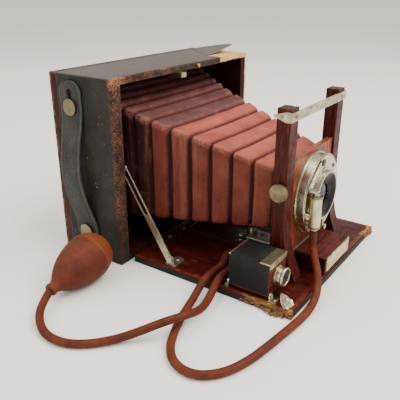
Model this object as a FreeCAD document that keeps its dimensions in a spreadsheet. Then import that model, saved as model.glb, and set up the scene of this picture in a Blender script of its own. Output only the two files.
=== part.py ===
import FreeCAD, Part
import math
import os
from FreeCAD import Vector, Placement, Rotation

# Folding plate camera with a drop bed, tapered bellows, a between-lens pneumatic shutter,
# a swivelling reflecting finder, a leather carrying strap and a rubber release tube and bulb.
# Frame: +Z up, the lens looks along -Y, +X is to the right seen from the front.
# Origin: mouth of the tripod bush, centre of the case's underside, on the plane the camera rests on.

doc = FreeCAD.newDocument("PlateCamera")
sheet = doc.addObject("Spreadsheet::Sheet", "Dims")
D = {}


def dim(alias, value, note=""):
    row = len(D) + 2
    sheet.set("A%d" % row, alias)
    sheet.set("B%d" % row, repr(float(value)))
    sheet.set("C%d" % row, note)
    sheet.setAlias("B%d" % row, alias)
    D[alias] = float(value)


sheet.set("A1", "name")
sheet.set("B1", "value_mm")
dim("case_w", 234.0, "outside width of the leather-covered case, about 9 1/4 inches")
dim("case_d", 80.0, "case depth front to back")
dim("case_top", 184.0, "case height, about 7 1/4 inches")
dim("skin", 0.8, "leather thickness")
dim("side_t", 11.0, "side board thickness")
dim("roof_z", 177.5, "underside of the top board")
dim("floor_z", 8.0, "top of the base board")
dim("back_y", 30.0, "where the covered case ends and the bare back frame begins")
dim("bed_hw", 102.0, "half width of the drop bed")
dim("bed_front", 219.0, "distance of the bed's front edge from the origin")
dim("bed_rear", 44.6, "distance of the bed's rear edge from the origin")
dim("bed_top", 6.5, "top of the lowered bed")
dim("rail_x", 20.0, "inner edge of a track rail")
dim("rail_w", 6.0, "track rail width")
dim("rail_z", 9.0, "top of a track rail")
dim("block_hw", 30.0, "half width of the sliding block")
dim("block_top", 24.0, "top of the sliding block")
dim("up_in", 44.5, "inner face of an upright")
dim("up_w", 14.5, "upright thickness across")
dim("up_top", 166.0, "top of the uprights")
dim("board_hw", 43.9, "half width of the lens board between the uprights")
dim("board_lo", 27.0, "bottom edge of the lens board")
dim("board_hi", 118.0, "top edge of the lens board")
dim("lens_z", 75.0, "height of the lens axis")
dim("shut_r", 38.5, "radius of the shutter case")
dim("shut_t", 10.0, "depth of the shutter case")
dim("bez_r", 23.5, "radius of the lens bezel, takes a slip-on cap")
dim("cyl_x", 29.6, "air cylinder offset to the left of the lens axis")
dim("cyl_r", 5.4, "air cylinder radius")
dim("tube_r", 3.5, "release tube radius, 7 mm rubber")
dim("bulb_r", 22.2, "bulb radius")
dim("bush_r", 3.9, "tripod thread minor radius, 3/8-16")
dim("strap_w", 29.0, "strap width")
dim("strap_t", 2.2, "strap thickness")
dim("fin_x0", 98.1, "finder left side, distance from the centre plane")
dim("fin_w", 31.4, "finder width")
dim("fin_y", 194.0, "finder front face")
dim("fin_d", 40.2, "finder depth")
dim("fin_z", 9.4, "finder underside")
dim("fin_tall", 32.0, "finder height")
dim("gg_t", 2.5, "focusing glass thickness")
doc.recompute()

nodes = []


def E(s):
    return str(s).replace("#", "Dims.")


def bind(obj, prop, s):
    obj.setExpression(prop, E(s))


def place(obj, x, y, z, rot=None):
    if rot is not None:
        obj.Placement = Placement(Vector(0, 0, 0), rot)
    bind(obj, "Placement.Base.x", x)
    bind(obj, "Placement.Base.y", y)
    bind(obj, "Placement.Base.z", z)


def keep(obj, label):
    obj.Label = label
    nodes.append(obj)
    return obj


def box(x, y, z, lx, ly, lz):
    o = doc.addObject("Part::Box", "Block")
    bind(o, "Length", lx)
    bind(o, "Width", ly)
    bind(o, "Height", lz)
    place(o, x, y, z)
    return o


ROT = {
    "z": Rotation(),
    "x": Rotation(Vector(0, 1, 0), 90),
    "y": Rotation(Vector(1, 0, 0), -90),
    "-y": Rotation(Vector(1, 0, 0), 90),
}


def cyl(r, length, x, y, z, axis="z"):
    o = doc.addObject("Part::Cylinder", "Round")
    bind(o, "Radius", r)
    bind(o, "Height", length)
    place(o, x, y, z, ROT[axis])
    return o


def cone(r1, r2, length, x, y, z, axis="z"):
    o = doc.addObject("Part::Cone", "Taper")
    bind(o, "Radius1", r1)
    bind(o, "Radius2", r2)
    bind(o, "Height", length)
    place(o, x, y, z, ROT[axis])
    return o


def cut(a, *tools):
    t = tools[0]
    if len(tools) > 1:
        t = doc.addObject("Part::MultiFuse", "Tools")
        t.Shapes = list(tools)
    o = doc.addObject("Part::Cut", "Cut")
    o.Base = a
    o.Tool = t
    return o


def fuse(*parts):
    o = doc.addObject("Part::MultiFuse", "Joined")
    o.Shapes = list(parts)
    o.Refine = True
    return o


def group(*parts):
    # separate solids of one kind, kept apart in one node
    o = doc.addObject("Part::Compound", "Set")
    o.Links = list(parts)
    return o


def rounded(obj, r, pick):
    doc.recompute()
    o = doc.addObject("Part::Fillet", "Rounded")
    o.Base = obj
    o.Edges = [(i + 1, r, r) for i, e in enumerate(obj.Shape.Edges) if pick(e)]
    return o


def along(e, axis, tol=1e-3):
    if not isinstance(e.Curve, (Part.Line, Part.LineSegment)):
        return False
    d = e.Vertexes[-1].Point.sub(e.Vertexes[0].Point)
    v = [abs(d.x), abs(d.y), abs(d.z)]
    k = "xyz".index(axis)
    return v[k] > tol and max(v[(k + 1) % 3], v[(k + 2) % 3]) < tol


def mid(e):
    return e.BoundBox.Center


def feature(shape, label):
    o = doc.addObject("Part::Feature", "Shaped")
    o.Shape = shape
    return keep(o, label)


def body_of(label, role, segments, depth, shift, holes=()):
    # a pad of one closed outline, with through pockets for its holes
    b = doc.addObject("PartDesign::Body", "Body")
    plane = [f for f in b.Origin.OriginFeatures if f.Role == role][0]
    sk = b.newObject("Sketcher::SketchObject", "Outline")
    sk.AttachmentSupport = [(plane, "")]
    sk.MapMode = "FlatFace"
    for s in segments:
        sk.addGeometry(s, False)
    for h in holes:
        for s in h:
            sk.addGeometry(s, False)
    pad = b.newObject("PartDesign::Pad", "Pad")
    pad.Profile = sk
    pad.setExpression("Length", E(depth))
    place(b, *shift)
    doc.recompute()
    b.Tip = pad
    return keep(b, label) if label else b


def poly(pts):
    v = [Vector(a, b, 0) for a, b in pts]
    return [Part.LineSegment(v[i], v[(i + 1) % len(v)]) for i in range(len(v))]


def ring(cx, cy, r):
    return [Part.Circle(Vector(cx, cy, 0), Vector(0, 0, 1), r)]


def prism_yz(pts, x0, x1):
    f = Part.Face(Part.makePolygon([Vector(x0, a, b) for a, b in pts + pts[:1]]))
    return f.extrude(Vector(x1 - x0, 0, 0))


def screw(x, y, z, axis, r=1.7, up=1):
    # cheese head let a little way in, with a driver slot
    d = {"z": Vector(0, 0, 1), "-y": Vector(0, -1, 0), "y": Vector(0, 1, 0), "-x": Vector(-1, 0, 0), "x": Vector(1, 0, 0)}[axis]
    p = Vector(x, y, z)
    head = Part.makeCylinder(r, 0.8, p, d)
    e = [ed for ed in head.Edges if abs((ed.BoundBox.Center - (p + d * 0.8)).Length) < 1e-6]
    head = head.makeChamfer(0.25, e) if e else head
    s = Part.makeBox(4 * r, 0.5, 0.5, Vector(-2 * r, -0.25, 0))
    s.Placement = Placement(p + d * 0.45, Rotation(Vector(0, 0, 1), d))
    return head.cut(s)


# ---------------------------------------------------------------- case
keep(cut(
    box("-#case_w/2+#skin", "-#case_d/2+#skin", "#skin", "#case_w-2*#skin", "#back_y+#case_d/2-#skin", "#floor_z-#skin"),
    cyl(8.0, 20, 0, 0, -5),
), "base_board")
base_skin = cut(
    box("-#case_w/2+#skin", "-#case_d/2+#skin", 0, "#case_w-2*#skin", "#back_y+#case_d/2-#skin", "#skin"),
    cyl(8.0, 20, 0, 0, -5),
)
keep(group(
    box("-#case_w/2+#skin", "-#case_d/2+#skin", "#floor_z", "#side_t", "#back_y+#case_d/2-#skin", "#roof_z-#floor_z"),
    box("#case_w/2-#skin-#side_t", "-#case_d/2+#skin", "#floor_z", "#side_t", "#back_y+#case_d/2-#skin", "#roof_z-#floor_z"),
), "side_boards")
keep(cut(
    box("-#case_w/2+#skin", "-#case_d/2+#skin", "#roof_z", "#case_w-2*#skin", "#back_y+#case_d/2-#skin", "#case_top-#skin-#roof_z"),
    cyl(1.56, 12, 13.2, -45, 180.6, "y"),
), "top_board")

# leather skin: top, both sides and the front edges, torn away at the top right corner
skin_out = box("-#case_w/2", "-#case_d/2", 0.3, "#case_w", "#back_y+#case_d/2", "#case_top-0.3")
skin_in = box("-#case_w/2+#skin", "-#case_d/2+#skin", -1, "#case_w-2*#skin", "#back_y+#case_d/2+5", "#case_top-#skin+1")
skin_mouth = box("-#case_w/2+#skin+#side_t", "-#case_d/2-5", -1, "#case_w-2*#skin-2*#side_t", 20, "#roof_z+1")
torn = doc.addObject("Part::Feature", "Torn")
torn.Shape = Part.Face(Part.makePolygon([Vector(x, y, 177.3) for x, y in ((59.8, -46), (130, -46), (130, 50), (101, 31), (60, -18), (59.8, -46))])).extrude(Vector(0, 0, 20))
keep(cut(skin_out, skin_in, skin_mouth, torn, cyl(1.56, 20, 13.2, -50, 180.6, "y")), "leather_covering")

# light-tight partition that carries the rear of the bellows
keep(group(
    box("-#case_w/2+#skin+#side_t", 20, "#floor_z", "#case_w-2*#skin-2*#side_t", 5, "36-#floor_z"),
    box("-#case_w/2+#skin+#side_t", 20, 157, "#case_w-2*#skin-2*#side_t", 5, "#roof_z-157"),
    box("-#case_w/2+#skin+#side_t", 20, 36, "#case_w/2-#skin-#side_t-92", 5, 121),
    box(92, 20, 36, "#case_w/2-#skin-#side_t-92", 5, 121),
), "bellows_partition")

# mahogany back frame of four rails
keep(group(
    box(-116.4, "#back_y", 170, 232.8, 10, 13.6),
    box(-116.4, "#back_y", 0.6, 232.8, 10, 22.4),
    box(-116.4, "#back_y", 23, 16.4, 10, 147),
    box(100, "#back_y", 23, 16.4, 10, 147),
), "back_frame")

# spring-loaded focusing frame and its ground glass
gf = []
for bx in ((-99.6, 31, 23.4, 199.2, 7.5, 11.6), (-99.6, 31, 158.0, 199.2, 7.5, 11.6), (-99.6, 31, 35.0, 12.6, 7.5, 123.0), (87.0, 31, 35.0, 12.6, 7.5, 123.0)):
    gf.append(cut(box(*bx), box(-89.2, 30.5, 32.8, 178.4, "#gg_t+1.5", 127.4)))
keep(group(*gf), "focusing_frame")
keep(box(-89.1, 32.4, 32.9, 178.2, "#gg_t-0.9", 127.2), "focusing_glass")


def leaf_spring(z0):
    # bowed flat spring: its ends bear on the stiles and its middle presses the frame
    a = Vector(-108, 41.2, z0)
    m = Vector(0, 39.2, z0)
    b = Vector(108, 41.2, z0)
    arc = Part.Arc(a, m, b).toShape()
    arc2 = Part.Arc(b + Vector(0, 0.6, 0), m + Vector(0, 0.6, 0), a + Vector(0, 0.6, 0)).toShape()
    w = Part.Wire([arc, Part.makeLine(b, b + Vector(0, 0.6, 0)), arc2, Part.makeLine(a + Vector(0, 0.6, 0), a)])
    return Part.Face(w).extrude(Vector(0, 0, 8))


both = []
for zs, zh in ((26.0, 30.0), (159.5, 163.5)):
    sp = leaf_spring(zs)
    for xh in (-104.0, 104.0):
        sp = sp.cut(Part.makeCylinder(1.5, 6, Vector(xh, 39, zh), Vector(0, 1, 0)))
    both.append(sp.Solids[0])
feature(Part.makeCompound(both), "leaf_springs")
studs = []
for zz in (30.0, 163.5):
    for xx in (-104.0, 104.0):
        studs.append(cyl(2.6, 1.2, xx, 41.9, zz, "y"))
        studs.append(cyl(1.4, 1.9, xx, 40.0, zz, "y"))
keep(group(*[fuse(studs[i], studs[i + 1]) for i in range(0, len(studs), 2)]), "spring_studs")

# ---------------------------------------------------------------- bed
keep(group(
    box("-#bed_hw", "-#bed_front+1", "#skin", "2*#bed_hw", "#bed_front-#bed_rear-7", "#bed_top-#skin"),
    box("-#bed_hw", "-#bed_rear-5.9", "#skin", "2*#bed_hw", 5.9, "#bed_top-#skin"),
), "bed_board")
keep(group(base_skin, cut(
    box("-#bed_hw-1", "-#bed_front", 0, "2*#bed_hw+2", "#bed_front-#bed_rear", "#bed_top-0.4"),
    box("-#bed_hw", "-#bed_front+1", "#skin", "2*#bed_hw", "#bed_front-#bed_rear+5", 20),
)), "underside_leather")
keep(group(
    box(-60, "-#bed_rear-7", "#bed_top", 120, 7, 0.7),
    box(-60, "-#case_d/2", "#floor_z-6.8", 120, 0.7, 6.6),
    cyl(1.7, 124, -62, -42.3, 5.0, "x"),
), "bed_hinge")

keep(group(
    box("-#rail_x-#rail_w", -214, "#bed_top", "#rail_w", 160, "#rail_z-#bed_top"),
    box("#rail_x", -214, "#bed_top", "#rail_w", 160, "#rail_z-#bed_top"),
), "track_rails")


# struts: flat bars with a long slot near the top
def strut(sign, label):
    # drawn along its own length, then leaned into place in the plane of the case side
    p0 = Vector(0, -86.4, 13.0)
    p1 = Vector(0, -33.0, 95.6)
    L = (p1 - p0).Length
    w = 3.9
    o = []
    o.append(Part.LineSegment(Vector(0, -w, 0), Vector(L, -w, 0)))
    o.append(Part.Arc(Vector(L, -w, 0), Vector(L + w, 0, 0), Vector(L, w, 0)))
    o.append(Part.LineSegment(Vector(L, w, 0), Vector(0, w, 0)))
    o.append(Part.Arc(Vector(0, w, 0), Vector(-w, 0, 0), Vector(0, -w, 0)))
    s = 2.7
    a, b = L - 47.0, L
    h = [Part.LineSegment(Vector(a, -s, 0), Vector(b, -s, 0)),
         Part.Arc(Vector(b, -s, 0), Vector(b + s, 0, 0), Vector(b, s, 0)),
         Part.LineSegment(Vector(b, s, 0), Vector(a, s, 0)),
         Part.Arc(Vector(a, s, 0), Vector(a - s, 0, 0), Vector(a, -s, 0))]
    bd = body_of(None, "XY_Plane", o, "1.2", (0, 0, 0), [h, ring(0, 0, 1.9)])
    ang = math.degrees(math.atan2(p1.z - p0.z, p1.y - p0.y))
    # local x -> along the bar in YZ, local z -> +X
    m = FreeCAD.Matrix()
    u = (p1 - p0).normalize()
    n = Vector(1, 0, 0)
    v = n.cross(u)
    m.A11, m.A21, m.A31 = u.x, u.y, u.z
    m.A12, m.A22, m.A32 = v.x, v.y, v.z
    m.A13, m.A23, m.A33 = n.x, n.y, n.z
    x0 = -99.4 if sign < 0 else 98.2
    bd.setExpression("Placement.Base.x", None)
    bd.setExpression("Placement.Base.y", None)
    bd.setExpression("Placement.Base.z", None)
    bd.Placement = Placement(Vector(x0, p0.y, p0.z), Placement(m).Rotation)
    return bd


keep(group(strut(-1, None), strut(1, None)), "struts")
fits, pins = [], []
for sgn, side in ((-1, "left"), (1, "right")):
    xe = -98.1 if sgn < 0 else 96.9
    ear = fuse(
        box(xe, -90.4, 6.5, 1.2, 8, 6.5),
        cyl(4.0, 1.2, xe, -86.4, 13.0, "x"),
        box(-98.1 if sgn < 0 else 84.0, -92.4, 6.5, 14.1, 12, 1.1),
        cyl(6.0, 1.1, -86.0 * 1 if sgn < 0 else 86.0, -86.4, 6.5),
    )
    fits.append(cut(ear, cyl(1.9, 4, xe - 1, -86.4, 13.0, "x")))
    # rivet through the foot and the bar
    x1 = -100.0 if sgn < 0 else 96.2
    h1, h2 = (0.6, 0.7) if sgn < 0 else (0.7, 0.6)
    pins.append(fuse(cyl(1.85, 3.8, x1, -86.4, 13.0, "x"), cyl(3.1, h1, x1, -86.4, 13.0, "x"), cyl(3.1, h2, x1 + 3.8 - h2, -86.4, 13.0, "x")))
    # shouldered stud on the case side that runs in the slot
    x2 = -105.2 if sgn < 0 else 97.6
    xh = -98.2 if sgn < 0 else 97.6
    pins.append(fuse(cyl(2.4, 7.6, x2, -33.0, 95.6, "x"), cyl(4.0, 0.6, xh, -33.0, 95.6, "x")))
keep(group(*fits), "strut_feet")
keep(group(*pins), "strut_pins")

# catch under the top rail and the brass release pin in it
keep(cut(
    box(-21.5, -45.6, 172.6, 8.5, 15, 4.9),
    box(-20.0, -44.4, 171.5, 5.5, 12, 4.9),
), "bed_catch")

# tripod bush
keep(cut(cyl(7.95, 8, 0, 0, 0), cyl("#bush_r", 20, 0, 0, -5)), "tripod_bush")

# ---------------------------------------------------------------- strap


def strap_shape():
    t = D["strap_t"] / 2
    pts = [(-118.3, 179.0), (-118.3, 166.0), (-118.4, 150.0), (-121.5, 134.0), (-126.5, 116.0), (-129.6, 96.0),
           (-129.6, 84.0), (-127.0, 66.0), (-122.3, 50.0), (-118.5, 36.0), (-118.3, 26.0), (-118.3, 16.0)]
    line = Part.BSplineCurve()
    line.interpolate([Vector(a, 0, b) for a, b in pts])
    n = 44
    a, b = line.FirstParameter, line.LastParameter
    left, right = [], []
    for i in range(n + 1):
        u = a + (b - a) * i / n
        p = line.value(u)
        g = line.tangent(u)[0]
        nn = Vector(-g.z, 0, g.x)
        left.append(p + nn * t)
        right.append(p - nn * t)
    c1 = Part.BSplineCurve()
    c1.interpolate(left)
    c2 = Part.BSplineCurve()
    c2.interpolate(list(reversed(right)))
    w = Part.Wire([c1.toShape(), Part.makeLine(left[-1], right[-1]), c2.toShape(), Part.makeLine(right[0], left[0])])
    y0 = 12.0 - D["strap_w"] / 2
    s = Part.Face(w).extrude(Vector(0, D["strap_w"], 0))
    s.translate(Vector(0, y0, 0))
    # rounded ends and a waist seen from the side
    hw = D["strap_w"] / 2
    e = []
    P = lambda y, z: Vector(-140, y, z)
    e.append(Part.Arc(P(12 - hw, 166.0), P(12, 178.5), P(12 + hw, 166.0)).toShape())
    e.append(Part.Arc(P(12 + hw, 166.0), P(12 + hw - 2.4, 97.0), P(12 + hw, 29.0)).toShape())
    e.append(Part.Arc(P(12 + hw, 29.0), P(12, 16.5), P(12 - hw, 29.0)).toShape())
    e.append(Part.Arc(P(12 - hw, 29.0), P(12 - hw + 2.4, 97.0), P(12 - hw, 166.0)).toShape())
    m = Part.Face(Part.Wire(e)).extrude(Vector(40, 0, 0))
    s = s.common(m)
    # keyhole above the upper stud
    key = Part.makeBox(30, 5.0, 12.0, Vector(-135, 9.5, 156.0)).fuse(Part.makeCylinder(3.4, 30, Vector(-135, 12, 168.0), Vector(1, 0, 0)))
    s = s.cut(key)
    for zz in (154.0, 27.5):
        s = s.cut(Part.makeCylinder(2.5, 30, Vector(-135, 12, zz), Vector(1, 0, 0)))
    # it hangs a little aslant: the lower stud sits further forward
    s.translate(Vector(0, -1.5, 0))
    s.rotate(Vector(0, 10.5, 154.0), Vector(1, 0, 0), -3.5)
    return s


feature(strap_shape().Solids[0], "strap")
keep(group(*[
    fuse(cyl(2.3, 3.6, -120.6, yy, zz, "x"), cyl(8.0, 1.6, -121.8, yy, zz, "x")) for yy, zz in ((10.5, 154.0), (2.777, 27.736))
]), "strap_studs")

# ---------------------------------------------------------------- bellows


def rect(y, hw, lo, hi):
    v = [Vector(-hw, y, lo), Vector(hw, y, lo), Vector(hw, y, hi), Vector(-hw, y, hi)]
    return Part.makePolygon(v + v[:1])


def bellows_sections(depth):
    # ridge rectangles shrink towards the front; every other section is folded inwards
    ys = [20.0, 14.5, 9.0, 3.5, -2.0, -7.5, -13.0, -18.5, -24.0, -29.5, -35.5, -42.5]
    step = (170.4 - 42.5) / 13.0
    ys += [-42.5 - step * (i + 1) for i in range(13)]
    out = []
    for i, y in enumerate(ys):
        o = y + 40.0
        hw = 80.0 + o * 0.255
        hi = 143.3 + o * 0.28 + max(0.0, o) * 0.13
        lo = 41.4 - o * 0.065
        f = 0.0 if i % 2 == 0 else depth
        f = 0.0 if i == 0 else f
        out.append((y, min(hw, 95.5) - f, lo + f * 0.8, min(hi, 168.0) - f))
    return out


secs = bellows_sections(3.0)
outer = Part.makeLoft([rect(*s) for s in secs], True, True)
wall = [(y, hw - 1.4, lo + 1.4, hi - 1.4) for y, hw, lo, hi in secs]
wall[0] = (wall[0][0] + 0.0, wall[0][1], wall[0][2], wall[0][3])
inner = Part.makeLoft([rect(*s) for s in wall], True, True)
bel = outer.cut(inner)
feature(bel.Solids[0], "bellows")

# ---------------------------------------------------------------- front standard


def upright(sgn, label):
    base = [(-186.0, 166.0), (-186.0, 66.0)]
    # side outline: straight mast, front edge sweeping forward into the toe
    yz = lambda y, z: Vector(y, z, 0)
    seg = [
        Part.LineSegment(yz(-173, 7.0), yz(-173, D["up_top"])),
        Part.LineSegment(yz(-173, D["up_top"]), yz(-186, D["up_top"])),
        Part.LineSegment(yz(-186, D["up_top"]), yz(-186, 68.0)),
        Part.Arc(yz(-186, 68.0), yz(-188.6, 39.0), yz(-196.4, 17.0)),
        Part.LineSegment(yz(-196.4, 17.0), yz(-200.4, 7.0)),
        Part.LineSegment(yz(-200.4, 7.0), yz(-173, 7.0)),
    ]
    x0 = "-#up_in-#up_w" if sgn < 0 else "#up_in"
    b = body_of(None, "YZ_Plane", seg, "#up_w", (x0, 0, 0))
    return b


for sgn, side in ((-1, "left"), (1, "right")):
    b = upright(sgn, None)
    tools = [box("-#up_in-2" if sgn < 0 else "#up_in", -183.1, 25, 2, 2.2, 160)]
    if sgn < 0:
        # tapped bore of the clamping screw that bears on the edge of the rising lens board
        tools += [cyl(2.06, "#up_w+2", "-#up_in-#up_w-1", -180.5, 92.6, "x")]
    keep(cut(b, *tools), "upright_%s" % side)

blk = box("-#block_hw", -217, 8.0, "2*#block_hw", 93, "#block_top-8")
groove1 = box("-#rail_x-#rail_w-0.08", -230, 5, "#rail_w+0.16", 120, "#rail_z+0.1-5")
groove2 = box("#rail_x-0.08", -230, 5, "#rail_w+0.16", 120, "#rail_z+0.1-5")
keep(cut(blk, groove1, groove2), "sliding_block")
keep(box(-28, -218.0, 9.6, 56, 1.0, 14.0), "name_plate")
brace = [box("-#up_in-#up_w-1.2", -187.4, 155.0, "2*#up_in+2*#up_w+2.4", 1.4, 8.0)]
clip = [(-186.0, 154.6), (-186.0, 163.4), (-182.0, 163.4), (-170.5, 160.2), (-170.5, 158.6), (-182.0, 154.6)]
for xc in (-60.2, 59.0):
    c = doc.addObject("Part::Feature", "Clip")
    c.Shape = prism_yz(clip, xc, xc + 1.2)
    brace.append(c)
keep(group(*brace), "top_brace")
# frame that carries the front end of the bellows, between the uprights
keep(group(
    box(-44.4, -177.4, 40.0, 88.8, 6.6, 7.5),
    box(-44.4, -177.4, 101.5, 88.8, 6.6, 5.1),
    box(-44.4, -177.4, 47.5, 10.4, 6.6, 54),
    box(34.0, -177.4, 47.5, 10.4, 6.6, 54),
), "bellows_front_frame")
# clamp plate of the slide, with its lever
keep(group(
    box("-#up_in", -185, "#block_top", "2*#up_in", 9, 1.5),
    cut(box(-34, -171.5, "#block_top", 20, 46, 1.4), cyl(3.0, 10, -21, -146, 20)),
    fuse(cyl(2.0, 4.2, -21, -133, "#block_top+1.4"), cyl(3.6, 1.2, -21, -133, 27.1)),
), "slide_plates")
lev = fuse(cyl(6.0, 1.4, -21, -133, 25.5), box(-23.2, -133, 25.5, 4.4, 5, 1.4), box(-42, -135.2, 25.5, 21, 4.4, 1.4), cyl(3.6, 1.4, -42, -133, 25.5))
keep(cut(lev, cyl(2.06, 10, -21, -133, 20)), "lock_lever")

# ---------------------------------------------------------------- lens board and shutter
lb = fuse(
    box("-#board_hw", -184.2, "#board_lo", "2*#board_hw", 6.0, "#board_hi-#board_lo"),
    box("-#board_hw-2.2", -183.0, "#board_lo", "2*#board_hw+4.4", 2.0, "#board_hi-#board_lo"),
)
keep(cut(lb, cyl(17.0, 20, 0, -190, "#lens_z", "y")), "lens_board")

case = cut(
    fuse(cyl("#shut_r+1.5", 2.4, 0, -186.6, "#lens_z", "y"), cyl("#shut_r", "#shut_t", 0, -194.3, "#lens_z", "y")),
    cyl(34.0, 4.4, 0, -192.3, "#lens_z", "y"),
    cyl(16.0, 30, 0, -200, "#lens_z", "y"),
)
case = cut(case, box(-60, -184.2, 0, 120, 5, 140))
keep(case, "shutter_case")
face = cut(cyl("#shut_r-0.6", 1.2, 0, -195.5, "#lens_z", "y"), cyl("#bez_r-6", 10, 0, -200, "#lens_z", "y"))
keep(rounded(face, 0.5, lambda e: abs(e.BoundBox.YMax + 195.5) < 1e-3 and e.BoundBox.XLength > 60), "shutter_face")
# dished bezel round the front glass
bz = cut(
    fuse(cyl("#bez_r", 4.1, 0, -201.0, "#lens_z", "y"), cyl("#bez_r-0.5", 1.5, 0, -197.0, "#lens_z", "y"), cyl(15.9, 8.0, 0, -200.0, "#lens_z", "y")),
    cone(21.6, 11.4, 6.0, 0, -201.05, "#lens_z", "y"),
    cyl(10.6, 30, 0, -205, "#lens_z", "y"),
)
keep(bz, "lens_bezel")


def lens(yc, r, front, back):
    # a biconvex element: a disc cut by two spheres centred on the lens axis
    z = D["lens_z"]
    s1, s2 = front - 0.8, back - 0.8
    r1, r2 = (r * r + s1 * s1) / (2 * s1), (r * r + s2 * s2) / (2 * s2)
    disc = Part.makeCylinder(r, front + back + 4, Vector(0, yc - front - 2, z), Vector(0, 1, 0))
    ball1 = Part.makeSphere(r1, Vector(0, yc - front + r1, z))
    ball2 = Part.makeSphere(r2, Vector(0, yc + back - r2, z))
    return disc.common(ball1).common(ball2).Solids[0]


feature(Part.makeCompound([lens(-194.6, 10.5, 2.4, 1.6), lens(-173.0, 11.55, 2.0, 2.6)]), "lens_elements")
keep(cut(fuse(cyl(15.6, 18.0, 0, -187.9, "#lens_z", "y"), cyl(18.2, 2.0, 0, -178.15, "#lens_z", "y")), cyl(11.6, 40, 0, -200, "#lens_z", "y")), "rear_barrel")


# two leaves of the shutter hang from pins above the opening and swing apart
def leaf(sgn, y0, label):
    z0 = D["lens_z"]
    piv = (0.0, z0 + 24.0)
    arm = Part.makeBox(7.4, 0.4, 20.0, Vector(-3.7, y0, z0 + 6.0))
    half = Part.makeCylinder(12.6, 0.4, Vector(0, y0, z0), Vector(0, 1, 0))
    side = Part.makeBox(16, 2, 40, Vector(-1.2 if sgn > 0 else -14.8, y0 - 0.8, z0 - 20))
    half = half.common(side)
    hub = Part.makeCylinder(4.4, 0.4, Vector(piv[0], y0, piv[1]), Vector(0, 1, 0))
    s = arm.fuse(half).fuse(hub).removeSplitter()
    s = s.cut(Part.makeCylinder(1.26, 5, Vector(piv[0], y0 - 2, piv[1]), Vector(0, 1, 0)))
    feature(s.Solids[0], label)


leaf(1, -190.6, "shutter_leaf_right")
leaf(-1, -189.6, "shutter_leaf_left")

# air cylinder, its bands, the piston that lifts the release lever, and the hose nozzle
CY = -202.4
cyb = fuse(
    cyl("#cyl_r", 32.0, "-#cyl_x", CY, 52.6),
    cyl("#cyl_r+0.6", 2.0, "-#cyl_x", CY, 82.6),
    cyl("#cyl_r+0.5", 2.0, "-#cyl_x", CY, 52.6),
    box("-#cyl_x-2.4", -198.2, 53.6, 4.8, 2.7, 4.0),
    box("-#cyl_x-2.4", -198.2, 61.6, 4.8, 2.7, 4.0),
)
keep(cut(cyb, cyl(3.56, 31.0, "-#cyl_x", CY, 54.6)), "air_cylinder")
keep(fuse(cyl(3.5, 26.0, "-#cyl_x", CY, 60.0), cyl(2.5, 0.8, "-#cyl_x", CY, 86.0)), "piston")
keep(fuse(cyl(2.26, 8.6, "-#cyl_x", CY, 44.0), cyl(3.3, 1.2, "-#cyl_x", CY, 50.2), cone(2.9, 3.9, 1.2, "-#cyl_x", CY, 51.4)), "hose_nozzle")

# release lever: pivot high on the face, round finger end over the piston
LP = Vector(-8.5, 0, 109.0)
LT = Vector(-33.0, 0, 91.0)


def lever_shape():
    y0 = -197.95
    d = LT - LP
    u = Vector(d.x, 0, d.z).normalize()
    n = Vector(-u.z, 0, u.x)
    def q(s, w):
        p = LP + u * s + n * w
        return Vector(p.x, y0, p.z)
    L = d.Length
    pts = [q(0, -3.6), q(L * 0.55, -2.0), q(L, -2.6), q(L, 2.6), q(L * 0.55, 2.2), q(0, 3.6)]
    bar = Part.Face(Part.makePolygon(pts + pts[:1])).extrude(Vector(0, 1.2, 0))
    s = bar.fuse(Part.makeCylinder(4.6, 1.2, Vector(LP.x, y0, LP.z), Vector(0, 1, 0)))
    s = s.fuse(Part.makeCylinder(3.6, 1.2, Vector(LT.x, y0, LT.z), Vector(0, 1, 0)))
    # finger that reaches forward over the piston head
    s = s.fuse(Part.makeBox(8.0, 7.2, 1.4, Vector(-34.0, y0 - 6.0, 87.6)))
    s = s.removeSplitter()
    return s.cut(Part.makeCylinder(2.06, 10, Vector(LP.x, y0 - 4, LP.z), Vector(0, 1, 0)))


feature(lever_shape().Solids[0], "release_lever")
face_screws = []
for k in (0, 2, 3):
    a = math.radians(45 + 90 * k)
    fs = doc.addObject("Part::Feature", "FaceScrew")
    fs.Shape = screw(32.0 * math.cos(a), -195.5, D["lens_z"] + 32.0 * math.sin(a), "-y", 1.6)
    face_screws.append(fs)
keep(group(
    fuse(cyl(2.0, 3.1, LP.x, -198.6, LP.z, "y"), cyl(3.4, 0.9, LP.x, -198.95, LP.z, "y")),
    cyl(1.2, 4.3, 0, -192.25, "#lens_z+24", "y"),
    *face_screws,
), "shutter_pins")

# diaphragm pointer, turns about the lens axis in front of the face
ap = Part.makeCylinder(D["bez_r"] + 2.6, 0.9, Vector(0, -196.7, D["lens_z"]), Vector(0, 1, 0)).cut(
    Part.makeCylinder(D["bez_r"] - 0.44, 5, Vector(0, -199, D["lens_z"]), Vector(0, 1, 0)))
tab = Part.makeBox(3.6, 0.9, 12.0, Vector(6.2, -196.7, D["lens_z"] - 37.0))
tab = tab.fuse(Part.makeCylinder(2.6, 3.2, Vector(8.0, -199.0, D["lens_z"] - 37.0), Vector(0, 1, 0)))
feature(ap.fuse(tab).removeSplitter().Solids[0], "diaphragm_pointer")

# clamping screw of the rising board
keep(fuse(cyl(2.0, 13.3, -60.0, -180.5, 92.6, "x"), cyl(5.0, 1.2, -60.6, -180.5, 92.6, "x"), cyl(8.0, 4.2, -64.8, -180.5, 92.6, "x")), "rise_knob")

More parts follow.
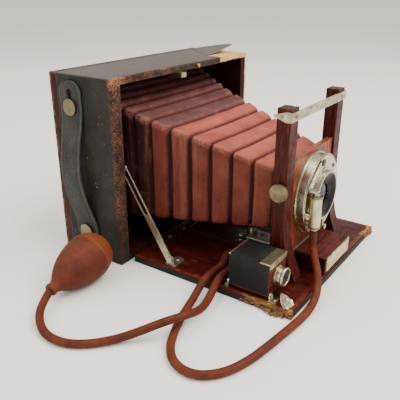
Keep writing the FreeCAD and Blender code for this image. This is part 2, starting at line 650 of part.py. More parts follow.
# ---------------------------------------------------------------- finder
fx, fy, fz = "-#fin_x0", "-#fin_y", "#fin_z"
fb = cut(
    box("-#fin_x0+0.6", fy, fz, "#fin_w-1.2", "#fin_d", "#fin_tall-0.6"),
    box("-#fin_x0+3.2", "-#fin_y+3", "#fin_z+2.4", "#fin_w-6.4", "#fin_d-5", "#fin_tall"),
    cyl(6.0, 10, "-#fin_x0+#fin_w/2", "-#fin_y-3", "#fin_z+#fin_tall/2", "y"),
    cyl(1.55, 80, -95.2, -210, 11.2, "y"),
)
keep(fb, "finder_body")
fl = cut(
    box(fx, "-#fin_y+1.2", "#fin_z+1.8", "#fin_w", "#fin_d-1.2", "#fin_tall-2.4"),
    box("-#fin_x0+0.6", "-#fin_y-5", 0, "#fin_w-1.2", "#fin_d+20", 100),
)
keep(fl, "finder_leather")
keep(group(
    fuse(box(fx, "-#fin_y-0.6", "#fin_z+#fin_tall-0.6", "#fin_w", 10.2, 1.2), box(fx, "-#fin_y-0.6", "#fin_z+#fin_tall-4.4", "#fin_w", 0.6, 4.0)),
    box(fx, "-#fin_y+#fin_d-1.2", "#fin_z+#fin_tall-0.6", "#fin_w", 1.8, 1.2),
), "finder_bars")
fin_glass = [box("-#fin_x0+3.3", "-#fin_y+10.2", "#fin_z+#fin_tall-2.8", "#fin_w-6.6", "#fin_d-12.4", 1.6)]
mir = doc.addObject("Part::Box", "Mirror")
bind(mir, "Length", "#fin_w-7")
mir.Width = 32.0
mir.Height = 1.2
mir.Placement = Placement(Vector(-94.6, -188.6, 12.6), Rotation(Vector(1, 0, 0), 43))
keep(mir, "finder_mirror")
keep(cut(
    fuse(cyl(8.0, 8.0, "-#fin_x0+#fin_w/2", "-#fin_y-8.0", "#fin_z+#fin_tall/2", "y"), cyl(9.0, 1.2, "-#fin_x0+#fin_w/2", "-#fin_y-1.2", "#fin_z+#fin_tall/2", "y")),
    cyl(6.4, 30, "-#fin_x0+#fin_w/2", "-#fin_y-15", "#fin_z+#fin_tall/2", "y"),
), "finder_lens_tube")
keep(group(fin_glass[0], cyl(6.35, 1.6, "-#fin_x0+#fin_w/2", "-#fin_y-3.4", "#fin_z+#fin_tall/2", "y")), "finder_glasses")
keep(cyl(1.5, 46.4, -95.2, -197.1, 11.2, "y"), "finder_pivot_pin")
lid = fuse(
    rounded(box("-#fin_x0+0.5", -184.2, "#fin_z+#fin_tall-0.5", "#fin_w-1", 28.9, 1.2), 0.4, lambda e: mid(e).z > 41.9),
    cyl(0.55, "#fin_w-1", "-#fin_x0+0.5", -183.9, 42.4, "x"),
)
keep(lid, "finder_lid")
ears = []
for y0, side in ((-195.8, "front"), (-153.6, "rear")):
    back = -1 if side == "front" else 1
    ft = fuse(
        box(-99.2, y0 if side == "rear" else y0 - 5.0, 6.5, 8.4, 6.2, 0.9),
        box(-98.4, y0, 6.5, 6.4, 1.2, 5.0),
        cyl(3.2, 1.2, -95.2, y0, 11.2, "y"),
    )
    ears.append(cut(ft, cyl(1.56, 6, -95.2, y0 - 2, 11.2, "y")))
keep(group(*ears), "finder_brackets")

# brass pin in the top rail: pressed to free the bed
keep(fuse(cyl(1.5, 7.0, 13.2, -42.4, 180.6, "y"), cyl(1.9, 0.9, 13.2, -43.2, 180.6, "y")), "release_pin")

# ---------------------------------------------------------------- release tube and bulb
ROUTE = [
    (-29.6, -202.4, 50.0), (-29.6, -202.4, 36.0), (-34.4, -206.6, 27.6), (-42.6, -213.2, 22.4), (-53.0, -219.8, 17.0), (-65.0, -225.2, 11.4),
    (-80.0, -228.0, 6.4), (-98.0, -227.4, 3.9), (-122.0, -224.6, 3.6), (-148.0, -221.4, 3.6), (-173.0, -217.4, 3.6),
    (-195.0, -208.8, 3.6), (-208.2, -193.0, 3.6), (-206.0, -174.0, 3.6), (-193.6, -160.4, 3.6), (-177.0, -152.0, 3.6),
    (-159.0, -144.6, 3.6), (-142.0, -139.8, 3.6), (-126.0, -136.8, 6.7), (-110.0, -134.4, 13.2), (-94.0, -133.2, 13.2), (-79.0, -132.2, 10.8),
    (-66.4, -128.4, 10.4), (-55.6, -122.8, 10.4), (-44.8, -124.6, 10.4), (-39.4, -133.4, 10.4), (-43.6, -142.6, 10.4), (-55.0, -145.4, 10.4),
    (-70.0, -142.0, 10.4), (-86.0, -141.6, 11.4), (-101.0, -144.6, 14.0), (-115.0, -148.6, 11.8), (-130.0, -152.8, 8.6), (-147.0, -156.4, 9.9),
    (-164.0, -155.4, 14.7), (-181.0, -147.0, 15.1), (-195.4, -133.6, 8.9), (-210.0, -120.6, 4.3), (-226.0, -106.6, 3.7),
    (-236.4, -90.6, 3.6), (-238.0, -71.0, 3.8), (-231.2, -54.6, 5.8), (-218.4, -41.6, 9.2), (-204.1, -35.4, 12.13),
]


def run_and_arc(points, share=0.45):
    P = [Vector(*p) for p in points]
    edges, radii, total = [], [], 0.0
    last = P[0]
    for i in range(1, len(P) - 1):
        a = P[i - 1] - P[i]
        b = P[i + 1] - P[i]
        la, lb = a.Length, b.Length
        a.normalize()
        b.normalize()
        turn = math.pi - a.getAngle(b)
        if turn < 1e-4:
            continue
        t = share * min(la, lb)
        r = t / math.tan(turn / 2)
        p, q = P[i] + a * t, P[i] + b * t
        c = P[i] + (a + b).normalize() * (r / math.cos(turn / 2))
        m = c + (P[i] - c).normalize() * r
        if (p - last).Length > 1e-6:
            edges.append(Part.LineSegment(last, p).toShape())
        edges.append(Part.Arc(p, m, q).toShape())
        total += (p - last).Length + r * turn
        radii.append(round(r, 1))
        last = q
    edges.append(Part.LineSegment(last, P[-1]).toShape())
    total += (P[-1] - last).Length
    return Part.Wire(edges), radii, total


wire, radii, run_length = run_and_arc(ROUTE)
start = Vector(*ROUTE[1]) - Vector(*ROUTE[0])
prof = Part.Wire([Part.makeCircle(D["tube_r"], Vector(*ROUTE[0]), start)])
tube = wire.makePipeShell([prof], True, True, 1)
if tube.ShapeType != "Solid":
    tube = tube.Solids[0]
if tube.Volume < 0:
    tube.reverse()
tube_full = tube.Volume
tube = tube.cut(Part.makeCylinder(2.34, 8.0, Vector(-29.6, -202.4, 43.9), Vector(0, 0, 1)))
tube = tube.Solids[0]
feature(tube, "rubber_tube")
print("tube radii", radii, tube.optimalBoundingBox(False))
print("tube length", round(run_length, 1), "volume ratio", round(tube_full / (math.pi * D["tube_r"] ** 2 * run_length), 4))

BULB_N = Vector(-201.8, -34.4, 12.6)
BULB_C = Vector(-147.5, -31.2, 23.6)


def bulb_shape():
    ax = (BULB_C - BULB_N)
    L = ax.Length
    u = ax.normalize()
    side = Vector(0, 0, 1).cross(u).normalize()
    # radius along the axis: collar, shoulder, belly, round end
    prof = [(0.0, 5.4), (5.0, 5.6), (9.0, 7.4), (16.0, 12.6), (26.0, 17.6), (38.0, 21.2), (50.0, 22.2), (L, 21.7), (L + 9.0, 17.8), (L + 15.0, 11.0), (L + 17.6, 0.0)]
    pts = [BULB_N + u * s + side * r for s, r in prof]
    c = Part.BSplineCurve()
    c.interpolate(pts)
    w = Part.Wire([c.toShape(), Part.makeLine(pts[-1], BULB_N), Part.makeLine(BULB_N, pts[0])])
    s = Part.Face(w).revolve(BULB_N, u, 360)
    return Part.Solid(s) if s.ShapeType == "Shell" else s


bulb = bulb_shape()
bulb.translate(Vector(0, 0, 0.03 - bulb.optimalBoundingBox(False).ZMin))
print("bulb lowest", round(bulb.BoundBox.ZMin, 2), bulb.BoundBox)
feature(bulb.Solids[0], "rubber_bulb")


# ---------------------------------------------------------------- screws
root_screws = []
for y in (-205, -160, -110, -62):
    for x in (-23, 23):
        pass
for x in (-50, -25, 0, 25, 50):
    root_screws.append(screw(x, -48.6, 7.2, "z"))
for sx in (-1, 1):
    root_screws.append(screw(sx * 86.0, -86.4, 7.6, "z", 2.0))
root_screws.append(screw(-95.2, -199.4, 7.4, "z"))
root_screws.append(screw(-95.2, -149.6, 7.4, "z"))
for x in (-108.2, 108.2):
    for z in (60.0, 133.0):
        root_screws.append(screw(x, 40.0, z, "y", 2.0))
for x in (-60, 60):
    for z in (14.0, 177.0):
        root_screws.append(screw(x, 40.0, z, "y", 2.0))
feature(Part.makeCompound(root_screws), "case_screws")
std_screws = [screw(x, -180.5, 25.5, "z") for x in (-38, -10, 10, 38)]
std_screws += [screw(x, -187.4, 159.0, "-y") for x in (-52, 52)]
std_screws += [screw(-60.2, -178.5, 159.3, "-x", 1.3), screw(60.2, -178.5, 159.3, "x", 1.3)]
std_screws += [screw(-17.5, -162, 25.4, "z"), screw(-30.5, -162, 25.4, "z")]
std_screws += [screw(x, -218.0, 16.6, "-y", 1.1) for x in (-25.6, 25.6)]
feature(Part.makeCompound(std_screws), "standard_screws")
# ---------------------------------------------------------------- check and write
doc.recompute()
bad = 0
for o in doc.Objects:
    if any(s in ("Invalid", "Error") for s in o.State):
        print("BAD STATE", o.Label, o.State)
        bad += 1
for o in nodes:
    s = o.Shape
    if s.isNull() or not s.isValid() or not s.Solids or s.Volume <= 0:
        print("BAD SHAPE", o.Label, s.isNull() or (s.isValid(), len(s.Solids), s.Volume))
        bad += 1
if bad:
    raise SystemExit("%d objects failed" % bad)
os.makedirs("parts", exist_ok=True)
names = [o.Label for o in nodes]
if len(set(names)) != len(names):
    raise SystemExit("duplicate names")
for o in nodes:
    o.Shape.exportStep("parts/%s.step" % o.Label)
print(len(nodes), "nodes written")
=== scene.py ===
import bpy, bmesh, math
from mathutils import Vector, Matrix, noise


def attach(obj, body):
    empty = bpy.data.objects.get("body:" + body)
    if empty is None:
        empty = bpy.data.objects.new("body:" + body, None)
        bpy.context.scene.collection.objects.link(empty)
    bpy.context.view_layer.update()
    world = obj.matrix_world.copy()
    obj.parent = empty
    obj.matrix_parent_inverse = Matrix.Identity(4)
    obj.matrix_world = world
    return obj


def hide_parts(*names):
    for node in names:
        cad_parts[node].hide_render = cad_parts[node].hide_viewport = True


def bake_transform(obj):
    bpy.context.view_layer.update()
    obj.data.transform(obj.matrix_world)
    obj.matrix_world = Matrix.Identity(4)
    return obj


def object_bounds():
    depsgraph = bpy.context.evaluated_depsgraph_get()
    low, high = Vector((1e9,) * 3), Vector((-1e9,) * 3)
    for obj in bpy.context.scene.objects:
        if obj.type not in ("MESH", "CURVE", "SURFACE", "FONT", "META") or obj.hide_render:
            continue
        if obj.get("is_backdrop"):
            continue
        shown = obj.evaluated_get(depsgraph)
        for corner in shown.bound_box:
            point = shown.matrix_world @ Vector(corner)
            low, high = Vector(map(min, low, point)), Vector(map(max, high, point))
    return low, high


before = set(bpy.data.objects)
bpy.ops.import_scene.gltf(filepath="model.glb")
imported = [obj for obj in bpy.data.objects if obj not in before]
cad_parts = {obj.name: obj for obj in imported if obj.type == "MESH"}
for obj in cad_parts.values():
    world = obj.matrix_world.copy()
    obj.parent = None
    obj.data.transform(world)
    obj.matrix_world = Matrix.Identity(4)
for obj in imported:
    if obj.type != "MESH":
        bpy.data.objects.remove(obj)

box_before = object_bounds()
box_before = [list(box_before[0]), list(box_before[1])]
scene = bpy.context.scene
MM = 0.001


def smooth(a, b, x):
    t = max(0.0, min(1.0, (x - a) / (b - a)))
    return t * t * (3 - 2 * t)


def nz(x, y, z, s):
    return noise.noise(Vector((x * s, y * s, z * s)))


# ------------------------------------------------------------------ camera
cam = bpy.data.objects.new("Camera", bpy.data.cameras.new("Camera"))
scene.collection.objects.link(cam)
scene.camera = cam
back = Vector((-0.7548, -0.5294, 0.3874)).normalized()
cam.location = (-0.4469, -0.3667, 0.2634)
cam.rotation_mode = "QUATERNION"
cam.rotation_quaternion = (-back).to_track_quat("-Z", "Y")
cam.data.sensor_width = 36.0
cam.data.lens = 47.13
cam.data.clip_start, cam.data.clip_end = 0.01, 60.0


# ------------------------------------------------------------------ material helper
def srgb(r, g, b):
    def f(c):
        c /= 255.0
        return c / 12.92 if c <= 0.04045 else ((c + 0.055) / 1.055) ** 2.4
    return (f(r), f(g), f(b), 1.0)


class Mat:
    def __init__(self, name, rough=0.5, metal=0.0, **sockets):
        self.m = bpy.data.materials.new(name)
        self.m.use_nodes = True
        self.t = self.m.node_tree
        self.b = next(n for n in self.t.nodes if n.type == "BSDF_PRINCIPLED")
        self.b.inputs["Roughness"].default_value = rough
        self.b.inputs["Metallic"].default_value = metal
        for k, v in sockets.items():
            self.b.inputs[k.replace("_", " ")].default_value = v
        self.coord = None

    def n(self, kind, **props):
        x = self.t.nodes.new("ShaderNode" + kind)
        for k, v in props.items():
            setattr(x, k, v)
        return x

    def put(self, socket, v):
        if isinstance(v, bpy.types.NodeSocket):
            self.t.links.new(v, socket)
        elif v is not None:
            socket.default_value = v

    def obj(self):
        if self.coord is None:
            self.coord = self.n("TexCoord").outputs["Object"]
        return self.coord

    def xyz(self):
        s = self.n("SeparateXYZ")
        self.put(s.inputs[0], self.obj())
        return s.outputs[0], s.outputs[1], s.outputs[2]

    def nrm(self):
        s = self.n("SeparateXYZ")
        self.put(s.inputs[0], self.n("NewGeometry").outputs["Normal"])
        return s.outputs[0], s.outputs[1], s.outputs[2]

    def attr(self, name):
        return self.n("Attribute", attribute_name=name).outputs["Fac"]

    def scaled(self, s, loc=(0, 0, 0)):
        x = self.n("Mapping")
        self.put(x.inputs["Vector"], self.obj())
        x.inputs["Scale"].default_value = s
        x.inputs["Location"].default_value = loc
        return x.outputs[0]

    def noise(self, scale, detail=3.0, rough=0.55, dist=0.0, vec=None):
        x = self.n("TexNoise")
        self.put(x.inputs["Vector"], vec if vec is not None else self.obj())
        x.inputs["Scale"].default_value = scale
        x.inputs["Detail"].default_value = detail
        x.inputs["Roughness"].default_value = rough
        x.inputs["Distortion"].default_value = dist
        return x.outputs["Fac"]

    def voronoi(self, scale, vec=None, feature="DISTANCE_TO_EDGE", rnd=1.0):
        x = self.n("TexVoronoi", feature=feature)
        self.put(x.inputs["Vector"], vec if vec is not None else self.obj())
        x.inputs["Scale"].default_value = scale
        x.inputs["Randomness"].default_value = rnd
        return x.outputs["Distance"]

    def math(self, op, a, b=None, c=None, clamp=False):
        x = self.n("Math", operation=op, use_clamp=clamp)
        self.put(x.inputs[0], a)
        if b is not None:
            self.put(x.inputs[1], b)
        if c is not None:
            self.put(x.inputs[2], c)
        return x.outputs[0]

    def step(self, lo, hi, v):
        """0 below lo, 1 above hi (or the other way round when hi < lo), smooth between."""
        x = self.n("MapRange", interpolation_type="SMOOTHSTEP")
        self.put(x.inputs["Value"], v)
        x.inputs["From Min"].default_value = min(lo, hi)
        x.inputs["From Max"].default_value = max(lo, hi)
        x.inputs["To Min"].default_value = 0.0 if lo < hi else 1.0
        x.inputs["To Max"].default_value = 1.0 if lo < hi else 0.0
        return x.outputs["Result"]

    def mul(self, *v):
        o = v[0]
        for w in v[1:]:
            o = self.math("MULTIPLY", o, w)
        return o

    def either(self, a, b):
        return self.math("MAXIMUM", a, b)

    def mix(self, fac, a, b, mode="MIX"):
        x = self.n("Mix", data_type="RGBA", blend_type=mode)
        self.put(x.inputs[0], fac)
        self.put(x.inputs[6], a)
        self.put(x.inputs[7], b)
        return x.outputs[2]

    def ramp(self, fac, *stops):
        x = self.n("ValToRGB")
        self.put(x.inputs[0], fac)
        e = x.color_ramp.elements
        e[0].position, e[0].color = stops[0]
        e[1].position, e[1].color = stops[-1]
        for p, c in stops[1:-1]:
            s = e.new(p)
            s.color = c
        return x.outputs[0]

    def edges(self, radius, lo=0.02, hi=0.25):
        """1 along the shape's convex and concave edges, from the bevelled normal."""
        g = self.n("NewGeometry").outputs["Normal"]
        bv = self.n("Bevel", samples=6)
        bv.inputs["Radius"].default_value = radius
        d = self.n("VectorMath", operation="DOT_PRODUCT")
        self.put(d.inputs[0], g)
        self.put(d.inputs[1], bv.outputs[0])
        return self.step(lo, hi, self.math("SUBTRACT", 1.0, d.outputs["Value"]))

    def finish(self, color=None, rough=None, height=None, strength=0.4, dist=0.0004, bevel=0.0004):
        if color is not None:
            self.put(self.b.inputs["Base Color"], color)
        if rough is not None:
            self.put(self.b.inputs["Roughness"], rough)
        normal = None
        if bevel:
            bv = self.n("Bevel", samples=6)
            bv.inputs["Radius"].default_value = bevel
            normal = bv.outputs[0]
        if height is not None:
            bp = self.n("Bump")
            bp.inputs["Strength"].default_value = strength
            bp.inputs["Distance"].default_value = dist
            self.put(bp.inputs["Height"], height)
            if normal is not None:
                self.put(bp.inputs["Normal"], normal)
            normal = bp.outputs[0]
        if normal is not None:
            self.put(self.b.inputs["Normal"], normal)
        return self.m


# ------------------------------------------------------------------ materials
def wood(name, dark, mid, light, axis="z", rough=0.32, coat=0.35, wear=None, wear_mask=None, scale=1.0, extra=None, edge=0.0008):
    m = Mat(name, rough, Coat_Weight=coat * 0.45, Coat_Roughness=0.20, Specular_IOR_Level=0.14)
    along = {"x": (0.06, 1, 1), "y": (1, 0.06, 1), "z": (1, 1, 0.06)}[axis]
    v = m.scaled(tuple(a * scale for a in along))
    bands = m.noise(170, 4, 0.6, 1.2, v)
    pores = m.noise(1500, 2, 0.5, 0.3, v)
    blot = m.noise(26, 3, 0.5)
    col = m.ramp(bands, (0.30, dark), (0.50, mid), (0.72, light))
    col = m.mix(m.step(0.60, 0.47, pores), col, m.mix(1.0, col, (0.45, 0.36, 0.33, 1), "MULTIPLY"))
    col = m.mix(m.mul(m.step(0.42, 0.66, blot), 0.45), col, m.mix(1.0, col, (0.55, 0.5, 0.5, 1), "MULTIPLY"))
    if wear is not None:
        e = m.mul(m.edges(edge), m.step(0.40, 0.60, m.noise(420, 4, 0.65)))
        col = m.mix(e, col, wear)
    if extra is not None:
        col = extra(m, col)
    r = m.math("ADD", rough, m.mul(m.step(0.35, 0.7, m.noise(90, 4, 0.6)), 0.22))
    h = m.math("ADD", m.mul(pores, 0.7), m.mul(bands, 0.5))
    return m.finish(col, r, h, 0.22, 0.0003, 0.0007)


def leather(name, dark, mid, light, rough=0.58, grain=820, strength=0.55, extra=None, bevel=0.0004, up_face_lighten=0.0):
    m = Mat(name, rough, Specular_IOR_Level=0.20)
    cells = m.voronoi(grain)
    fine = m.noise(grain * 2.6, 3, 0.6)
    big = m.noise(38, 4, 0.6)
    col = m.ramp(big, (0.30, dark), (0.52, mid), (0.74, light))
    col = m.mix(m.step(0.16, 0.02, cells), col, m.mix(1.0, col, (0.5, 0.5, 0.5, 1), "MULTIPLY"))
    # upward-facing faces are lightened towards grey-brown
    if up_face_lighten:
        col = m.mix(m.mul(m.step(0.4, 0.95, m.nrm()[2]), up_face_lighten), col, srgb(122, 113, 102))
    if extra is not None:
        col = extra(m, col)
    r = m.math("ADD", rough - 0.08, m.mul(m.noise(150, 3), 0.26))
    h = m.math("ADD", m.step(0.0, 0.22, cells), m.mul(fine, 0.35))
    return m.finish(col, r, h, strength, 0.00028, bevel)


def metal(name, bright, dull, spots, rough=0.22, spread=0.22, extra=None, scratch=1.0, amount=0.5, bevel=0.00035, grainaxis=(1, 1, 1)):
    m = Mat(name, rough, 1.0)
    v = m.scaled(grainaxis)
    cloud = m.noise(120, 5, 0.62, 0.4, v)
    fine = m.noise(900, 3, 0.6, 0, v)
    col = m.ramp(cloud, (0.30, bright), (0.55, dull), (0.78, m_mix(dull, spots, 0.5)))
    col = m.mix(m.mul(m.step(0.62, 0.74, m.noise(260, 4, 0.7)), amount), col, spots)
    e = m.edges(0.0007)
    col = m.mix(m.mul(e, 0.5), col, bright)
    if extra is not None:
        col = extra(m, col)
    r = m.math("ADD", rough, m.mul(m.step(0.35, 0.8, cloud), spread))
    r = m.math("ADD", r, m.mul(m.step(0.5, 0.75, fine), 0.10))
    return m.finish(col, r, fine, 0.10 * scratch, 0.0002, bevel)


def m_mix(a, b, t):
    return tuple(a[i] * (1 - t) + b[i] * t for i in range(3)) + (1.0,)


TAN = srgb(196, 140, 88)
PALE = srgb(212, 172, 112)


def case_extra(m, col):
    x, y, z = m.xyz()
    front = m.step(-0.0352, -0.0385, y)
    n1 = m.noise(820, 5, 0.75)
    n2 = m.noise(90, 3, 0.55)
    # how rubbed each stretch of the front edge is
    left = m.mul(m.step(-0.100, -0.106, x), m.step(0.01, 0.06, z))
    top = m.mul(m.step(0.172, 0.178, z), m.step(0.030, -0.045, x))
    much = m.math("ADD", m.mul(left, 0.050), m.mul(top, 0.060))
    corner = m.mul(m.step(-0.085, -0.112, x), m.step(0.165, 0.181, z))
    much = m.math("ADD", much, m.mul(corner, 0.06))
    much = m.math("ADD", much, m.mul(m.math("SUBTRACT", n2, 0.5), 0.16))
    brown = m.mix(m.mul(front, m.math("ADD", 0.35, m.mul(m.either(left, top), 0.6))), col, m.mix(m.step(0.4, 0.6, n2), srgb(36, 20, 16), srgb(60, 36, 28)))
    speck = m.step(0.60, 0.66, m.math("ADD", n1, much))
    tan = m.mix(m.step(0.35, 0.65, m.noise(300, 2)), srgb(168, 122, 82), srgb(120, 72, 46))
    out = m.mix(m.mul(front, speck, 0.9), brown, tan)
    # the folded edges round the top and rear are rubbed brown
    e = m.mul(m.edges(0.0026, 0.01, 0.2), m.step(0.42, 0.56, m.noise(220, 4, 0.65)))
    out = m.mix(m.mul(e, 0.60), out, srgb(84, 56, 42))
    e2 = m.mul(m.edges(0.0014, 0.06, 0.3), m.step(0.52, 0.60, n1))
    out = m.mix(m.mul(e2, m.step(0.010, -0.020, y)), out, srgb(150, 104, 68))
    # raw fibres at the tear
    out = m.mix(m.mul(m.attr("tear"), m.step(0.36, 0.52, m.noise(500, 3))), out, srgb(150, 104, 70))
    # a few nicks on the side
    nick = m.mul(m.step(0.74, 0.76, m.noise(210, 2, 0.5)), 0.8)
    return m.mix(nick, out, srgb(140, 100, 62))


LEATHER = leather("case_leather", srgb(31, 30, 25), srgb(43, 41, 35), srgb(60, 57, 48), 0.58, 760, 0.6, case_extra, 0.0, 0.40)
FLAP = leather("flap_leather", srgb(50, 50, 48), srgb(72, 71, 68), srgb(96, 94, 90), 0.6, 820, 0.4,
               lambda m, c: m.mix(m.step(0.05, -0.25, m.nrm()[2]), m.mix(m.mul(m.attr("tear"), 0.6), c, srgb(140, 100, 66)), srgb(96, 70, 48)), 0.0, 0.25)


def strap_extra(m, col):
    rim = m.attr("rim")
    n = m.step(0.44, 0.6, m.noise(340, 4, 0.65))
    col = m.mix(m.mul(rim, 0.35), col, srgb(84, 84, 78))
    return m.mix(m.mul(rim, n, 0.3), col, srgb(100, 82, 64))


STRAP = leather("strap_leather", srgb(40, 40, 36), srgb(58, 58, 52), srgb(80, 79, 71), 0.5, 560, 0.8, strap_extra, 0.0)


def under_extra(m, col):
    x, y, z = m.xyz()
    n = m.noise(130, 4, 0.65)
    hz = m.math("ADD", z, m.mul(m.math("SUBTRACT", n, 0.5), 0.012))
    a = m.mul(m.step(-0.099, -0.1018, x), m.step(-0.164, -0.182, m.math("ADD", y, m.mul(m.math("SUBTRACT", n, 0.5), 0.06))), m.either(m.step(0.0030, 0.0042, hz), m.mul(m.step(-0.196, -0.203, y), m.step(0.0018, 0.0030, hz))))
    b = m.mul(m.step(0.070, 0.084, m.math("ADD", x, m.mul(m.math("SUBTRACT", n, 0.5), 0.05))), m.step(-0.2165, -0.218, y))
    c = m.mul(m.step(0.1018, 0.1026, x), m.step(-0.200, -0.212, y))
    worn = m.math("MAXIMUM", a, m.math("MAXIMUM", b, c))
    wood_c = m.ramp(m.noise(500, 3, 0.6, 0, m.scaled((0.3, 0.3, 1))), (0.3, srgb(74, 44, 22)), (0.52, srgb(128, 90, 48)), (0.8, srgb(172, 134, 82)))
    col = m.mix(worn, col, wood_c)
    e = m.mul(m.edges(0.0010, 0.03, 0.3), m.step(0.50, 0.62, m.noise(500, 4, 0.7)))
    return m.mix(m.mul(e, 0.8), col, srgb(132, 84, 52))


UNDER = leather("underside_leather", srgb(20, 17, 15), srgb(29, 25, 22), srgb(46, 38, 33), 0.6, 900, 0.5, under_extra, 0.0003)


def bed_extra(m, col):
    x, y, z = m.xyz()
    n = m.noise(160, 4, 0.6)
    # painted highlight: a lighter red band along the bed's side and front edges, broken up by noise
    ex = m.step(0.0955, 0.1010, m.math("ABSOLUTE", x))
    ey = m.step(-0.2115, -0.2165, y)
    e = m.math("MAXIMUM", ex, ey)
    col = m.mix(m.mul(e, m.math("ADD", 0.25, m.mul(m.step(0.4, 0.62, n), 0.50))), col, srgb(122, 46, 24))
    # rubbed through to bare wood at the front left edge and the right front corner
    left = m.mul(m.step(-0.0975, -0.1012, m.math("SUBTRACT", x, m.mul(m.math("SUBTRACT", n, 0.5), 0.012))), m.step(-0.165, -0.180, y))
    right = m.mul(m.step(-0.2130, -0.2165, m.math("SUBTRACT", y, m.mul(m.math("SUBTRACT", n, 0.5), 0.012))), m.step(0.062, 0.082, x))
    col = m.mix(m.mul(m.math("MAXIMUM", left, right), 0.85), col, m.mix(m.step(0.42, 0.58, m.noise(260, 4, 0.65)), srgb(120, 74, 36), srgb(180, 136, 80)))
    # scuffs and dust
    sc = m.mul(m.step(0.60, 0.72, m.noise(70, 6, 0.75, 0.6)), 0.35)
    return m.mix(sc, col, srgb(150, 84, 56))


BED = wood("bed_mahogany", srgb(48, 13, 9), srgb(76, 23, 15), srgb(99, 36, 22), "y", 0.38, 0.14, srgb(128, 56, 32), extra=bed_extra)
MAHOG = wood("standard_mahogany", srgb(46, 9, 6), srgb(78, 22, 14), srgb(102, 38, 24), "z", 0.42, 0.06, srgb(118, 54, 34))
def block_extra(m, col):
    # painted shade: the side under the lens board is darkened to near black, as if in shadow
    return m.mix(m.mul(m.step(-0.6, -0.9, m.nrm()[0]), 0.75), col, (0.006, 0.002, 0.002, 1))


BLOCK = wood("block_mahogany", srgb(58, 20, 13), srgb(92, 38, 25), srgb(116, 54, 35), "x", 0.44, 0.10, srgb(132, 66, 42), extra=block_extra)
PANEL = wood("lens_board_mahogany", srgb(100, 42, 18), srgb(150, 72, 36), srgb(180, 100, 56), "z", 0.36, 0.25, srgb(196, 118, 72))
FINWOOD = wood("finder_wood", srgb(60, 22, 12), srgb(96, 42, 24), srgb(128, 64, 38), "x", 0.45, 0.1, srgb(146, 84, 52))


def back_extra(m, col):
    x, y, z = m.xyz()
    n = m.noise(190, 4, 0.65)
    rear = m.math("MAXIMUM", m.step(0.0372, 0.0392, m.math("ADD", y, m.mul(m.math("SUBTRACT", n, 0.5), 0.003))), m.mul(m.step(0.1816, 0.1832, z), 0.6))
    out = m.step(0.1150, 0.1162, m.math("ABSOLUTE", x))
    return m.mix(m.mul(rear, out, m.step(0.44, 0.62, n), 0.8), col, srgb(150, 108, 62))


BACKW = wood("back_mahogany", srgb(38, 11, 8), srgb(62, 21, 13), srgb(86, 38, 22), "z", 0.40, 0.10, srgb(96, 50, 30), extra=back_extra)
RAILS = wood("rail_mahogany", srgb(36, 10, 7), srgb(70, 20, 12), srgb(104, 40, 22), "y", 0.3, 0.4, srgb(150, 90, 54))


def board_extra(m, col):
    # painted inside, bare pale wood where the covering has gone from the outside and the top right corner
    x, y, z = m.xyz()
    grain = m.noise(240, 4, 0.6, 0.8, m.scaled((0.08, 1, 1)))
    bare = m.ramp(grain, (0.28, srgb(170, 120, 66)), (0.5, srgb(206, 162, 100)), (0.75, srgb(226, 190, 132)))
    scuff = m.mul(m.step(0.56, 0.70, m.noise(150, 5, 0.7)), 0.45)
    bare = m.mix(scuff, bare, srgb(150, 100, 58))
    n = m.mul(m.math("SUBTRACT", m.noise(160, 3), 0.5), 0.0030)
    up = m.step(0.1780, 0.1786, m.math("ADD", z, n))
    out = m.step(0.1136, 0.1146, m.math("ADD", x, n))
    return m.mix(m.math("MAXIMUM", up, out), m.mix(0.40, col, (0.012, 0.003, 0.003, 1)), bare)


CASEW = wood("case_boards", srgb(40, 6, 6), srgb(62, 12, 11), srgb(84, 22, 18), "z", 0.6, 0.0, None, extra=board_extra)
BLACKW = wood("blackened_wood", srgb(10, 8, 8), srgb(16, 13, 12), srgb(28, 20, 18), "x", 0.6, 0.05, None)

N_BRIGHT, N_DULL, N_SPOT = srgb(222, 214, 192), srgb(176, 166, 140), srgb(92, 76, 54)
NICKEL = metal("aged_nickel", N_BRIGHT, N_DULL, N_SPOT, 0.20, 0.24)


def streaks(m, col):
    s = m.noise(900, 3, 0.6, 0.2, m.scaled((0.35, 1, 0.12)))
    return m.mix(m.mul(m.step(0.50, 0.66, s), 0.5), col, srgb(118, 104, 80))


BRACE = metal("streaked_nickel", srgb(214, 206, 180), srgb(168, 158, 130), srgb(92, 78, 54), 0.28, 0.25, streaks)


def rings(m, col):
    # concentric scuffs round the knob's axis
    x, y, z = m.xyz()
    dy = m.math("ADD", y, 0.1805)
    dz = m.math("SUBTRACT", z, 0.0926)
    r = m.math("SQRT", m.math("ADD", m.mul(dy, dy), m.mul(dz, dz)))
    s = m.n("TexNoise", noise_dimensions="1D")
    m.put(s.inputs["W"], r)
    s.inputs["Scale"].default_value = 2600
    s.inputs["Detail"].default_value = 2
    return m.mix(m.mul(m.step(0.5, 0.62, s.outputs["Fac"]), 0.55), col, srgb(134, 122, 98))


KNOB = metal("knob_nickel", srgb(150, 138, 106), srgb(108, 96, 70), srgb(60, 48, 30), 0.34, 0.22, rings, amount=0.8)


def cyl_extra(m, col):
    x, y, z = m.xyz()
    ends = m.math("MAXIMUM", m.step(0.0822, 0.0828, z), m.step(0.0550, 0.0544, z))
    return m.mix(m.mul(ends, 0.75), col, srgb(66, 58, 48))


CYLM = metal("cylinder_nickel", srgb(222, 212, 176), srgb(194, 182, 142), srgb(130, 110, 74), 0.30, 0.2, cyl_extra, amount=0.35)


